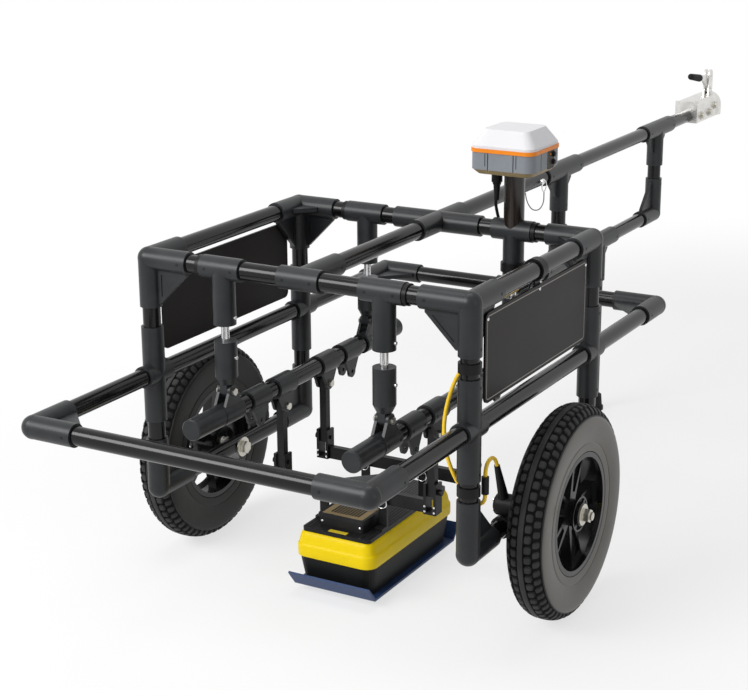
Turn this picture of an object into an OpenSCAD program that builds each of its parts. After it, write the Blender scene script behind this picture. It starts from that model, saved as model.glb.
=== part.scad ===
// Towed cart that carries a ground penetrating radar sensor between two wheels.
// X runs across the cart, Y runs ahead to the hitch, Z is up, and the ground is at Z = 0.

/* [Frame] */
// Post spacing across the cart, axis to axis
track_w = 830; // [780:5:900]
// Post spacing along the cart, axis to axis
base_l = 655; // [640:5:720]
// Mid rails above the axle
mid_rise = 288; // [282:1:298]
// Top rails above the mid rails
top_rise = 280; // [274:1:308]
// Reach of the rear loop behind the rear posts
rear_loop = 432; // [330:1:480]
// Reach of the front loop ahead of the front posts
front_loop = 465; // [330:1:520]

/* [Tubes and fittings] */
// Outside diameter of the tubes
tube_d = 42.2; // [40:0.1:43.5]
// Wall of the tubes
tube_wall = 3.6; // [2.5:0.1:5]
// Outside diameter of the fittings
fit_d = 53; // [51:0.5:56]
// Clearance all round a tube in its socket
socket_gap = 0.2; // [0.1:0.05:0.4]
// Leg length of the corner fittings
corner_leg = 115; // [95:1:120]
// Upright leg length of the post crosses
cross_leg = 116; // [90:1:118]
// Half length of the post crosses along the rail
cross_half = 44; // [38:1:60]
// Upright leg length of the foot elbows
foot_leg = 126; // [100:1:130]
// Lying leg length of the foot elbows
foot_reach = 112; // [90:1:120]
// Leg length of the loop elbows
loop_leg = 115; // [90:1:130]
// Thickness of the gusset webs
web_t = 11; // [8:0.5:14]
// How far a gusset stops short of its leg's end
web_inset = 9; // [4:1:16]

/* [Tongue] */
// Axle to the hitch plate
tow_l = 2158; // [2120:1:2300]
// Place of the rear upright, as a share of the tongue ahead of the front loop
brace_share = 0.214; // [0.19:0.002:0.24]
// Place of the landing leg, as a share of the tongue
landing_share = 0.439; // [0.41:0.001:0.47]
// Place of the front upright, as a share of the tongue
elbow_share = 0.788; // [0.76:0.002:0.8]
// Half length and leg length of the tongue fittings, as a share of the tongue
tongue_fit_share = 0.0864; // [0.07:0.0002:0.09]
// Size of the small gussets on the tongue tees
tongue_web = 74; // [60:1:90]
// Leg length of the tow cross
tow_cross_leg = 120; // [90:1:140]
// Half length of the tees on the cross rails
tee_half = 53; // [45:1:60]
// Leg length of the rear tow tee
tow_leg = 150; // [100:1:170]
// Leg length of the front loop tee
chord_leg = 105; // [80:1:130]
// Height of the rubber landing foot
landing_h = 48; // [30:1:70]
// Diameter of the rubber landing foot
landing_d = 66; // [58:1:80]
// Rubber under the landing leg
landing_sole = 12; // [8:1:20]

/* [Tow pin] */
// Axle to the tow pin
pin_y = 906; // [880:1:930]
// Diameter of the tow pin
pin_d = 10; // [8:0.5:12]
// How far the tow pin stands out on each side of the tube
pin_out = 9; // [6:1:14]
// Ring on the tow pin, across the middle of its wire
pin_ring_d = 30; // [24:1:40]
// Wire of rings and lanyard
wire_d = 3; // [2:0.5:4]

/* [Hitch coupler] */
// Length of the coupler ahead of the plate
coupler_l = 272; // [250:1:300]
// Width of the coupler channel
coupler_w = 78; // [74:1:90]
// Height of the coupler channel
coupler_h = 72; // [70:1:85]
// How far the channel reaches below the tow tube's axis
coupler_drop = 22; // [20:1:26]
// Wall of the coupler
coupler_wall = 5; // [4:0.5:7]
// Thickness of the hitch plate
plate_t = 8; // [6:1:12]
// Hitch ball diameter
ball_d = 50.8; // [50:0.1:51]
// Outside diameter of the ball housing
ball_house_d = 90; // [84:1:100]
// Height of the latch ears above the channel
ear_rise = 84; // [70:1:95]
// Latch lever thickness
lever_t = 10; // [8:0.5:14]
// Latch pivot diameter
lever_pin_d = 8; // [6:0.5:9]
// Safety pin hole in the latch ears
safety_d = 7; // [6:0.5:8]
// Diameter of the lever grip
grip_d = 23; // [20:1:28]
// Length of the lever grip
grip_l = 100; // [80:1:110]
// Rear end of the grip ahead of the hitch plate
grip_ahead = 20; // [12:1:30]
// Front end of the grip above the latch pivot
grip_rise = 45; // [42:1:50]

/* [Panels] */
// Gap from a post axis to the panel's edge
panel_clear = 52; // [46:1:70]
// Gap from the mid rail axis to the panel
panel_low = 42; // [34:1:60]
// Gap from the top rail axis to the panel
panel_high = 35; // [30:1:60]
// Panel thickness
panel_t = 5; // [3:0.5:8]
// Panel corner radius
panel_r = 16; // [8:1:30]
// Width of the clamp rings on the rails
clamp_w = 26; // [20:1:40]
// Wall of the clamp rings
clamp_wall = 5; // [3:0.5:7]

/* [Wheels] */
// Tyre outside diameter
tyre_d = 508; // [500:1:520]
// Tyre width
tyre_w = 89; // [80:1:94]
// Rim diameter under the tyre
rim_d = 300; // [294:1:310]
// Opening in the rim
rim_open_d = 268; // [260:1:274]
// Wheel's mid plane to the cart's middle, beyond the post axis
wheel_out = 89; // [87:1:110]
// Tread depth
tread_h = 7; // [4:0.5:9]
// Width of the smooth rib in the middle of the tread
rib_w = 13; // [8:1:20]
// Width of the grooves in the tread
groove_w = 6; // [4:0.5:8]
// Number of blocks around the tyre
blocks = 60; // [40:1:64]
// Number of spokes
spokes = 5; // [4:1:5]
// Hub diameter
hub_d = 64; // [60:1:70]
// Hub length from the mid plane outwards
hub_out = 42; // [36:1:48]
// Bearing outside diameter
bearing_d = 47; // [42:1:52]
// Bearing width
bearing_w = 14; // [10:1:18]
// Axle bolt diameter
axle_d = 19.05; // [16:0.05:22]
// Nut and bolt head, across flats
axle_af = 28.6; // [26:0.2:34]
// Washer diameter
washer_d = 51; // [40:1:56]
// Washer thickness
washer_t = 3.5; // [2:0.5:5]

/* [Odometer] */
// Encoder axis ahead of the rear foot elbow's end
encoder_gap = 67; // [56:1:80]
// Gap from the lower rail to the encoder housing
encoder_lift = 6; // [6:0.5:14]
// Encoder housing diameter
encoder_d = 52; // [44:1:56]
// Encoder housing length
encoder_l = 45; // [36:1:52]
// Encoder shaft diameter
shaft_d = 8; // [6:0.5:10]
// Diameter of the encoder pulley
small_pulley_d = 28; // [22:1:32]
// Diameter of the hub pulley
hub_pulley_d = 84; // [76:1:92]
// Width of pulleys and belt
belt_w = 7; // [5:0.5:8]
// Belt thickness
belt_t = 2.5; // [2:0.5:3]
// Cable diameter
cable_d = 9; // [8:0.5:9]
// Width of the cable straps
strap_w = 22; // [14:1:26]
// Diameter of the cable connectors
plug_d = 17; // [14:1:17]
// Length of the cable connectors
plug_l = 40; // [30:1:42]

/* [Suspension] */
// Struts and arms to the middle of the cart
strut_x = 208; // [190:1:225]
// Leg length of the strut tees
strut_leg = 131; // [120:1:136]
// Rod diameter
rod_d = 19; // [16:0.5:22]
// Rod length inside each end
rod_grip = 50; // [40:1:60]
// Strut sleeve length
sleeve_l = 86; // [75:1:90]
// Arm tubes below the mid rails
arm_drop = 63; // [58:1:68]
// Arm length
arm_l = 950; // [860:5:1000]
// Length of the clevis sleeves on the arms
clevis_l = 76; // [64:1:84]
// Clevis pin to the arm's axis
clevis_h = 52; // [49:1:56]
// Gap between the clevis ears
clevis_gap = 20; // [18:0.5:22]
// Thickness of the clevis ears
clevis_t = 7; // [5:0.5:9]
// Radius of the clevis ears round the pin
clevis_r = 16; // [14:0.5:18]
// Clevis bolt diameter
bolt_d = 10; // [8:0.5:12]
// Clevis bolt head, across flats
bolt_af = 16; // [14:0.5:18]
// Rear link to the axle
link_rear = 98; // [92:1:106]
// Front link to the axle
link_front = 104; // [96:1:110]
// Width of the swing links
link_w = 19; // [17:0.5:21]

/* [Sensor] */
// Skid to the ground
skid_lift = 19; // [16:1:24]
// Skid thickness
skid_t = 6; // [4:0.5:8]
// Skid width
skid_w = 224; // [210:1:240]
// Rise of the skid's lips
lip_h = 38; // [24:1:44]
// Reach of the skid's lips
lip_l = 30; // [20:1:40]
// Sensor length
sensor_l = 430; // [400:2:470]
// Sensor width
sensor_w = 216; // [200:2:230]
// Height of the black base
base_h = 73; // [64:1:80]
// Height of the yellow shell
shell_h = 61; // [54:1:66]
// Wall of the shells
shell_wall = 4; // [3:0.5:6]
// Corner radius of the shells
shell_r = 30; // [20:1:40]
// Width of the top plate
deck_w = 186; // [176:1:190]
// Length of the top plate
deck_l = 400; // [380:1:404]
// Thickness of the top plate
deck_t = 9; // [6:0.5:12]
// Cross bar height
bar_h = 32; // [28:1:36]
// Cross bar thickness
bar_t = 16; // [12:1:20]
// Cross bar to the top plate
bar_rise = 58; // [54:1:64]
// Width of the link blocks
block_w = 33; // [31:1:37]
// Length of the link blocks
block_l = 32; // [28:1:36]
// Height of the link blocks
block_h = 77; // [74:1:84]
// Floor of the link blocks under the slot
block_floor = 6; // [4:0.5:8]
// Hanger brackets to the sensor's middle
hanger_x = 82; // [76:1:82]
// Hanger width
hanger_w = 22; // [18:1:22]
// Hanger thickness
hanger_t = 8; // [6:0.5:10]
// Ring pin diameter
ring_pin_d = 8; // [6:0.5:9]
// Electronics box, across
box_w = 126; // [110:1:128]
// Electronics box, along
box_l = 100; // [84:1:104]
// Electronics box, height
box_h = 33; // [28:1:48]
// Middle of the box to the sensor's rear end
box_back = 91; // [84:1:100]

/* [Receiver] */
// Mast diameter
mast_d = 51; // [42:0.5:52]
// Mast wall
mast_wall = 3; // [2:0.5:5]
// Top of the mast above the top rails
mast_h = 138; // [120:1:160]
// Receiver width at the band
receiver_w = 168; // [154:1:176]
// Receiver width at its underside
receiver_foot_w = 144; // [130:1:150]
// Housing height
housing_h = 54; // [48:1:70]
// Band height
band_h = 9; // [6:0.5:12]
// Dome height
dome_h = 44; // [34:1:50]
// Width of the flat on the dome
dome_flat_w = 118; // [96:1:124]
// Receiver corner radius
receiver_r = 24; // [18:1:40]
// Plug to the mast's axis
plug_out = 48; // [42:1:54]

/* [Hidden] */
$fn = 48;

// Colours
tube_black = "#1d1e20";
fitting_grey = "#3b3e41";
panel_black = "#262424";
bright_steel = "#c9cbcc";
zinc = "#b9b6a6";
rubber_black = "#2a2a29";
rim_black = "#202124";
bar_black = "#303133";
sensor_yellow = "#f2d20e";
skid_blue = "#2c4a78";
cable_yellow = "#f0c030";
shell_white = "#f1f1f3";
band_orange = "#f08a1d";
housing_grey = "#7d848c";
mast_brown = "#3a3029";

// Directions that turn an upright shape
up = [0, 0, 0];
down = [180, 0, 0];
right = [0, 90, 0];
left = [0, -90, 0];
ahead = [-90, 0, 0];
back = [90, 0, 0];

// Clearances
end_gap = 0.3;
seat_gap = 0.2;
run_fit = 0.05;
slide_fit = 0.08;
side_gap = 0.4;
over = 1;

// Frame positions, measured from the axle
half_w = track_w / 2;
half_l = base_l / 2;
axle_z = tyre_d / 2;
mid_z = axle_z + mid_rise;
top_z = mid_z + top_rise;
arm_z = mid_z - arm_drop;
rear_y = -half_l - rear_loop;
front_y = half_l + front_loop;
tongue_l = tow_l - front_y;
brace_y = front_y + brace_share * tongue_l;
landing_y = front_y + landing_share * tongue_l;
elbow_y = front_y + elbow_share * tongue_l;
tongue_half = tongue_fit_share * tongue_l;
socket_d = tube_d + 2 * socket_gap;
stop_l = fit_d / 2;
tube_in = stop_l + end_gap;
knuckle_d = fit_d + 1;
web_lip = fit_d / 2 + 5;
web_pocket = 2;
// The axle's place along Y, with the whole cart centred on Y = 0
axle_y = (fit_d / 2 - rear_y - tow_l - coupler_l) / 2;

// Suspension heights and positions
leg_end_z = top_z - strut_leg;
strut_pin_z = arm_z + clevis_h;
tongue_drop = 35;
tongue_wide = 32;
neck_h = 17;
neck_d = 36;
sleeve_z = strut_pin_z + tongue_drop;
sleeve_top_z = sleeve_z + sleeve_l;
rod_bore = strut_leg - fit_d / 2 - 6;
link_pin_z = arm_z - clevis_h;
link_ys = [-link_rear, link_front];
// The spare clevises sit midway between the links and the struts
spare_ys = [(-link_rear - half_l) / 2, (link_front + half_l) / 2];
cap_t = 6;
bolt_head = 7;

// Sensor heights
base_z = skid_lift + skid_t;
shell_z = base_z + base_h;
deck_z = shell_z + shell_h;
deck_top_z = deck_z + deck_t;
bar_z = deck_top_z + bar_rise;
pivot_rise = 23;
pivot_z = bar_z + bar_h + pivot_rise;
link_end = 12;
knob_d = 15;
knob_h = 9;
hanger_foot_l = 30;
hanger_foot_t = 6;
box_y = box_back - sensor_l / 2;
sensor_taper = 14;
shell_step = 5;

// Hitch positions
coupler_y = tow_l + plate_t + seat_gap;
coupler_top_z = top_z - coupler_drop + coupler_h;
ball_y = tow_l + coupler_l - ball_house_d / 2;
ball_z = top_z - 6;
lever_back = 12;
lever_rise = 20;
lever_y = ball_y - lever_back;
lever_z = coupler_top_z + lever_rise;
lever_half = 9;
bend_y = lever_y - 44;
bend_z = lever_z + 38;
ear_t = 5;
ear_w = 38;
grip_y = tow_l + grip_ahead + grip_l;
grip_z = lever_z + grip_rise;
grip_tilt = 10;
grip_bar_d = 9;
spigot_l = 60;

// Wheel positions and sections
wheel_x = half_w + wheel_out;
rim_r = rim_d / 2;
bead_r = rim_r + 0.6;
round_power = 0.77;
bead_turn = 62;
bead_share = pow(sin(bead_turn), round_power);
crown_r = tyre_d / 2;
carcass_r = (bead_r + bead_share * crown_r) / (1 + bead_share);
carcass_a = crown_r - carcass_r;
tyre_wall = 7;
tread_wall = 15;
hub_in = wheel_out - tube_d / 2 - 12;
pulley_z = -hub_in + 1;
rim_half = 38;
spoke_t = 26;
spoke_hub_w = 26;
spoke_rim_w = 58;
hub_flange_d = 84;
hub_nose_d = bearing_d + 9;
hub_nose_l = 16;
axle_nut_h = 16;
axle_head_h = 12;
rail_in = -wheel_out - tube_d / 2;
rail_out = -wheel_out + tube_d / 2;
outer_washer_z = hub_out + end_gap;
outer_nut_z = outer_washer_z + washer_t + seat_gap;

// Receiver positions
mast_top_z = top_z + mast_h;
head_h = 10;
head_d = 62;
receiver_z = mast_top_z + head_h;
lead_plug_h = 42;
foot_chamfer = 12;

// Odometer positions
encoder_back = half_l - foot_reach - encoder_gap;
encoder_rise = (tube_d + encoder_d) / 2 + encoder_lift;
encoder_z = axle_z + encoder_rise;
bracket_t = 5;
bracket_x = wheel_x + pulley_z - 2 - bracket_t;
gland_d = 24;
gland_tip_d = 13;
gland_l = 94;
gland_turn = 23;
gland_x = bracket_x - 23;
gland_way = [0, -sin(gland_turn), cos(gland_turn)];
gland_tip = [gland_x, -encoder_back, encoder_z] + (encoder_d / 2 + gland_l) * gland_way;
post_gap_z = [(axle_z + foot_leg + mid_z - cross_leg) / 2, (mid_z + cross_leg + top_z - corner_leg) / 2];

// Points on a curve from a to d that starts towards b and arrives from c
function curve(a, b, c, d, n) = [for (i = [0:n]) let (t = i / n, s = 1 - t)
    s * s * s * a + 3 * s * s * t * b + 3 * s * t * t * c + t * t * t * d];
// Points on a half circle that hangs between two points of one height, bowed out by a vector
function hang(a, b, out, n) = [for (i = [0:n]) let (t = 180 * i / n)
    (a + b) / 2 + cos(t) * (a - b) / 2 - [0, 0, sin(t) * norm(a - b) / 2] + sin(t) * sin(t) * out];

// Cable from the encoder to the top of the connector at the post, measured from the axle
post_plug = [half_w + 20, 40.5 - half_l, post_gap_z[0] + 2 - plug_l / 2];
plug_top = post_plug + [0, 0, plug_l];
bow = 40;
lead_in = [0, 0, 4];
short_route = concat([gland_tip + seat_gap * gland_way],
    curve(gland_tip + 4 * gland_way, gland_tip + bow * gland_way, plug_top + [0, 0, bow],
        plug_top + lead_in, 8),
    [plug_top + [0, 0, seat_gap]]);
// Cable from that connector round the post and up under the top rail
post = [half_w, -half_l, 0];
strap_rise = post_gap_z[1] - post_gap_z[0];
turn_end = post + [-32, 24, post_plug[2] - 4];
rail_end = [half_w - 13, -clamp_w / 2 - 13 - plug_l, top_z - 32];
up_post = [[-28.2, 12.8, 0.004], [-35, 5.5, 0.075], [-43, 1.5, 0.15], [-52, -0.5, 0.247], [-58, -0.5, 0.365],
    [-60, -0.5, 0.49], [-57, 1.5, 0.615], [-50, 5.5, 0.741], [-39, 10.5, 0.866], [-29, 14.1, 0.948],
    [-27.2, 14.9, 0.991]];
to_rail = [[-27, 17.5, -130], [-28, 26.5, -100], [-27, 36.5, -74], [-25, 50.5, -54], [-21, 69.5, -41],
    [-17, 91.5, -35], [-14, 115.5, -33], [-13, 142.5, -32]];
long_route = concat([post_plug - [0, 0, seat_gap]], hang(post_plug - lead_in, turn_end, [0, 14, 0], 8),
    [turn_end + [0, -3, 14]],
    [for (q = up_post) post + [q[0], q[1], post_gap_z[0] + q[2] * strap_rise]],
    [for (q = to_rail) post + [q[0], q[1], top_z + q[2]]],
    [rail_end - [0, 4, 0], rail_end - [0, seat_gap, 0]]);
// Lead from the receiver down to its connector on the strut leg
lead_top_z = receiver_z - lead_plug_h;
lead_drop = lead_top_z - top_z + 72;
lead_points = [[0, 0.5, -0.012], [0, 0.5, 0.01], [-1, 1.5, 0.079], [-4, 5.5, 0.18], [-8, 13.5, 0.281],
    [-10, 24.5, 0.393], [-8, 33.5, 0.528], [-1, 38.2, 0.663], [10, 40, 0.775], [19, 40, 0.86],
    [23.4, 39.6, 0.916], [24, 39.5, 0.961], [24, 39.5, 1]];
lead_route = [for (q = lead_points) [strut_x - plug_out + q[0], half_l + q[1], lead_top_z - q[2] * lead_drop]];
// Wire from the tow pin's ring down and back up to the tow tube, measured from the pin
pin_reach = tube_d / 2 + pin_out;
lanyard_points = [[pin_reach + wire_d / 2, 0, -29], [32, -1, -40], [33, -5, -54], [32, -13, -66],
    [30, -25, -73], [26, -40, -74], [21, -54, -69], [16, -65, -57], [11, -71, -40],
    [8, -74, 0.5 - tube_d / 2]];
lanyard_route = [for (q = lanyard_points) q + [0, pin_y, top_z]];
lead_d = 8;
lead_plug_z = lead_route[len(lead_route) - 1][2];

// Points of a rectangle with round corners
function round_rect(w, l, r, n = 6) = [
    for (c = [[1, 1, 0], [-1, 1, 90], [-1, -1, 180], [1, -1, 270]])
        for (i = [0:n])
            [c[0] * (w / 2 - r), c[1] * (l / 2 - r)] + r * [cos(c[2] + 90 * i / n), sin(c[2] + 90 * i / n)]];

// Point of a rounded tyre section, at turn t from the bead over the crown
function soft(v) = sign(v) * pow(abs(v), round_power);
function tyre_point(a, b, t) = [carcass_r + a * soft(sin(t)), b * soft(cos(t))];
function reversed(list) = [for (i = [len(list) - 1:-1:0]) list[i]];

// Sweep of a round cord along a route
function unit(v) = v / norm(v);
function heading(p, i) = unit(p[min(i + 1, len(p) - 1)] - p[max(i - 1, 0)]);
function side_of(h) = unit(cross(h, abs(h[2]) < 0.9 ? [0, 0, 1] : [1, 0, 0]));
// Each ring's side direction is carried on from the ring before it, so that the tube doesn't twist
function carried(p, i, s) = unit(s - heading(p, i) * (s * heading(p, i)));
function cord_sides(p) = [for (i = 0, s = side_of(heading(p, 0)); i < len(p);
    i = i + 1, s = i < len(p) ? carried(p, i, s) : s) s];

module cord(p, d, n = 10) {
    sides = cord_sides(p);
    rings = [for (i = [0:len(p) - 1]) for (k = [0:n - 1])
        let (h = heading(p, i), s = sides[i], w = cross(h, s), a = 360 * k / n)
        p[i] + d / 2 * (cos(a) * s + sin(a) * w)];
    walls = [for (i = [0:len(p) - 2]) for (k = [0:n - 1])
        let (a = i * n + k, b = i * n + (k + 1) % n)
        each [[a, b + n, b], [a, a + n, b + n]]];
    first = [for (k = [1:n - 2]) [0, k, k + 1]];
    end = (len(p) - 1) * n;
    last = [for (k = [1:n - 2]) [end, end + k + 1, end + k]];
    polyhedron(rings, concat(walls, first, last));
}

// Everything is placed from the axle
module cart() {
    translate([0, axle_y, 0]) children();
}

module sides() {
    children();
    mirror([1, 0, 0]) children();
}

module ends() {
    children();
    mirror([0, 1, 0]) children();
}

module at_posts(z) {
    sides() ends() translate([half_w, -half_l, z]) children();
}

module ring(d, bore, h) {
    difference() {
        cylinder(d = d, h = h, center = true);
        cylinder(d = bore, h = h + 2 * over, center = true);
    }
}

module hex(af, h) {
    cylinder(d = af / cos(30), h = h, $fn = 6);
}

// Tubes
module pipe(l) {
    difference() {
        cylinder(d = tube_d, h = l);
        translate([0, 0, -over]) cylinder(d = tube_d - 2 * tube_wall, h = l + 2 * over);
    }
}

module run_x(x0, x1) {
    translate([x0, 0, 0]) rotate(right) pipe(x1 - x0);
}

module run_y(y0, y1) {
    translate([0, y0, 0]) rotate(ahead) pipe(y1 - y0);
}

module run_z(z0, z1) {
    translate([0, 0, z0]) pipe(z1 - z0);
}

module top_rails() {
    color(tube_black) cart() translate([0, 0, top_z]) {
        translate([0, -half_l, 0]) run_x(-half_w + tube_in, half_w - tube_in);
        sides() {
            translate([0, half_l, 0]) run_x(tube_in, half_w - tube_in);
            translate([half_w, 0, 0]) run_y(-half_l + tube_in, half_l - tube_in);
        }
    }
}

module side_rails() {
    color(tube_black) cart() {
        sides() translate([half_w, 0, mid_z]) {
            run_y(rear_y + tube_in, -half_l - tube_in);
            run_y(-half_l + tube_in, half_l - tube_in);
            run_y(half_l + tube_in, front_y - tube_in);
        }
        for (y = [rear_y, front_y]) translate([0, y, mid_z]) run_x(-half_w + tube_in, half_w - tube_in);
        sides() translate([half_w, 0, axle_z]) difference() {
            run_y(-half_l + tube_in, half_l - tube_in);
            rotate(right) cylinder(d = axle_d + 2 * socket_gap, h = 2 * fit_d, center = true);
        }
    }
}

module corner_posts() {
    color(tube_black) cart() at_posts(0) {
        run_z(axle_z + tube_in, mid_z - tube_in);
        run_z(mid_z + tube_in, top_z - tube_in);
    }
}

module tow_tube() {
    color(tube_black) cart() translate([0, 0, top_z]) {
        run_y(-half_l + tube_in, half_l - tube_in);
        difference() {
            run_y(half_l + tube_in, tow_l - end_gap);
            translate([0, pin_y, 0]) rotate(right)
                cylinder(d = pin_d + 2 * slide_fit, h = 2 * fit_d, center = true);
        }
    }
}

module tongue_tubes() {
    color(tube_black) cart() {
        translate([0, 0, mid_z]) run_y(front_y + tube_in, elbow_y - tube_in);
        for (y = [brace_y, elbow_y]) translate([0, y, 0]) run_z(mid_z + tube_in, top_z - tube_in);
        translate([0, landing_y, 0]) run_z(landing_sole + end_gap, mid_z - tube_in);
    }
}

module landing_foot() {
    color(rubber_black) cart() translate([0, landing_y, 0]) difference() {
        union() {
            cylinder(d1 = landing_d, d2 = landing_d - 8, h = landing_h);
            cylinder(d = landing_d + 6, h = landing_sole - 2);
        }
        translate([0, 0, landing_sole]) cylinder(d = socket_d, h = landing_h);
    }
}

// Fittings: blind sockets on legs, open sockets on sleeves, webs as children
module fitting(legs, sleeves = [], knuckle = false) {
    difference() {
        union() {
            if (knuckle) sphere(d = knuckle_d);
            for (g = legs) rotate(g[0]) cylinder(d = fit_d, h = g[1]);
            for (g = sleeves) rotate(g[0]) cylinder(d = fit_d, h = 2 * g[1], center = true);
            children();
        }
        for (g = legs) rotate(g[0]) translate([0, 0, stop_l]) cylinder(d = socket_d, h = g[1]);
        for (g = sleeves) rotate(g[0]) cylinder(d = socket_d, h = 2 * g[1] + 2 * over, center = true);
    }
}

// Flat gusset in the XY plane between a leg along X and a leg along Y
module web(l, pocket = false) {
    inner = fit_d / 2 + 9;
    outer = l + web_lip - inner - 13;
    difference() {
        linear_extrude(web_t, center = true) polygon([[0, 0], [l, 0], [l, web_lip], [web_lip, l], [0, l]]);
        if (pocket) for (s = [0, 1]) mirror([0, 0, s]) translate([0, 0, web_t / 2 - web_pocket])
            linear_extrude(web_pocket + over) polygon([[inner, inner], [outer, inner], [inner, outer]]);
    }
}

module corner_fittings() {
    color(fitting_grey) cart() at_posts(top_z)
        fitting([[left, corner_leg], [ahead, corner_leg], [down, corner_leg]], knuckle = true) {
            mirror([1, 0, 0]) mirror([0, 0, 1]) rotate([90, 0, 0]) web(corner_leg - web_inset, true);
            mirror([0, 0, 1]) rotate([90, 0, 90]) web(corner_leg - web_inset, true);
            mirror([1, 0, 0]) web(tongue_web);
        }
}

module post_crosses() {
    color(fitting_grey) cart() at_posts(mid_z)
        fitting([[up, cross_leg], [down, cross_leg], [ahead, cross_half], [back, cross_half]]);
}

module foot_elbows() {
    color(fitting_grey) cart() at_posts(axle_z)
        fitting([[up, foot_leg], [ahead, foot_reach]], knuckle = true)
            rotate([90, 0, 90]) web(foot_reach - web_inset);
}

module loop_elbows() {
    color(fitting_grey) cart() sides() {
        translate([half_w, rear_y, mid_z]) fitting([[left, loop_leg], [ahead, loop_leg]], knuckle = true)
            mirror([1, 0, 0]) web(loop_leg - web_inset);
        translate([half_w, front_y, mid_z]) fitting([[left, loop_leg], [back, loop_leg]], knuckle = true)
            mirror([1, 0, 0]) mirror([0, 1, 0]) web(loop_leg - web_inset);
    }
}

module strut_tees() {
    color(fitting_grey) cart() sides() ends() translate([strut_x, -half_l, top_z]) difference() {
        union() {
            rotate(right) cylinder(d = fit_d, h = 2 * tee_half, center = true);
            rotate(down) cylinder(d = fit_d, h = strut_leg);
        }
        rotate(right) cylinder(d = socket_d, h = 2 * tee_half + 2 * over, center = true);
        translate([0, 0, -strut_leg - over]) cylinder(d = rod_d + 2 * slide_fit, h = rod_bore + over);
    }
}

module tow_fittings() {
    color(fitting_grey) cart() {
        translate([0, -half_l, top_z]) fitting([[ahead, tow_leg]], [[right, tee_half]]);
        translate([0, front_y, mid_z]) fitting([[ahead, chord_leg]], [[right, tee_half]]);
        translate([0, half_l, top_z])
            fitting([for (turn = [left, right, ahead, back]) [turn, tow_cross_leg]]);
    }
}

module tongue_tee(turn) {
    fitting([[turn, tongue_half]], [[ahead, tongue_half]])
        ends() mirror([0, 0, turn == down ? 1 : 0]) rotate([90, 0, 90]) web(tongue_web);
}

module tongue_fittings() {
    color(fitting_grey) cart() {
        for (y = [brace_y, elbow_y]) translate([0, y, top_z]) tongue_tee(down);
        translate([0, brace_y, mid_z]) tongue_tee(up);
        translate([0, landing_y, mid_z]) tongue_tee(down);
        translate([0, elbow_y, mid_z]) fitting([[back, tongue_half], [up, tongue_half]], knuckle = true)
            mirror([0, 1, 0]) rotate([90, 0, 90]) web(tongue_half - web_inset);
    }
}

// Panels
panel_x = half_w + web_t / 2 + seat_gap;
panel_l = base_l - 2 * panel_clear;
panel_h = top_z - mid_z - panel_low - panel_high;
panel_mid_z = mid_z + panel_low + panel_h / 2;

module side_panels() {
    color(panel_black) cart() sides() translate([panel_x, 0, panel_mid_z]) rotate([90, 0, 90])
        linear_extrude(panel_t) polygon(round_rect(panel_l, panel_h, panel_r));
}

// The clamp ring hangs the right panel, and the collars keep the strut tees in place
module panel_clamps() {
    tab_l = panel_high - tube_d / 2 + 20;
    collar_l = 10;
    color(tube_black) cart() {
        translate([half_w, 0, top_z]) difference() {
            union() {
                rotate(ahead) cylinder(d = tube_d + 2 * clamp_wall, h = clamp_w, center = true);
                translate([web_t / 2 - clamp_wall, -clamp_w / 2, -tube_d / 2 - tab_l])
                    cube([clamp_wall, clamp_w, tab_l]);
            }
            rotate(ahead) cylinder(d = socket_d, h = clamp_w + 2 * over, center = true);
        }
        sides() ends() translate([strut_x + tee_half + collar_l / 2 + over, -half_l, top_z]) rotate(right)
            ring(tube_d + 7, socket_d, collar_l);
    }
}

// Tow pin
module tow_pin() {
    color(bright_steel) cart() translate([0, pin_y, top_z]) {
        rotate(right) {
            cylinder(d = pin_d, h = 2 * pin_reach, center = true);
            translate([0, 0, pin_reach - 4]) cylinder(d = pin_d + 6, h = 4);
        }
        translate([pin_reach + wire_d / 2, 0, -pin_ring_d / 2 + 3]) rotate(right)
            rotate_extrude() translate([pin_ring_d / 2, 0]) circle(d = wire_d, $fn = 16);
    }
}

module pin_lanyard() {
    color(bright_steel) cart() cord(lanyard_route, wire_d, 8);
}

// Hitch coupler
module coupler_plate() {
    color(bright_steel) cart() {
        translate([-coupler_w / 2, tow_l, top_z - coupler_drop]) cube([coupler_w, plate_t, coupler_h]);
        translate([0, tow_l + over, top_z]) rotate(back)
            cylinder(d = tube_d - 2 * tube_wall - 2 * socket_gap, h = spigot_l);
    }
}

module coupler_channel(grow, y0, y1) {
    w = coupler_w + 2 * grow;
    h = coupler_h + grow;
    c = 10;
    translate([0, y0, top_z - coupler_drop]) rotate([90, 0, 180]) mirror([1, 0, 0]) linear_extrude(y1 - y0)
        polygon([[-w / 2, 0], [w / 2, 0], [w / 2, h - c], [w / 2 - c, h], [-w / 2 + c, h], [-w / 2, h - c]]);
}

module latch_ear() {
    translate([0, 0, coupler_top_z - coupler_wall]) {
        translate([0, -ear_w / 2, 0]) cube([ear_t, ear_w, ear_rise - ear_w / 2 + coupler_wall]);
        translate([0, 0, ear_rise - ear_w / 2 + coupler_wall]) rotate(right) cylinder(d = ear_w, h = ear_t);
    }
}

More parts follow.
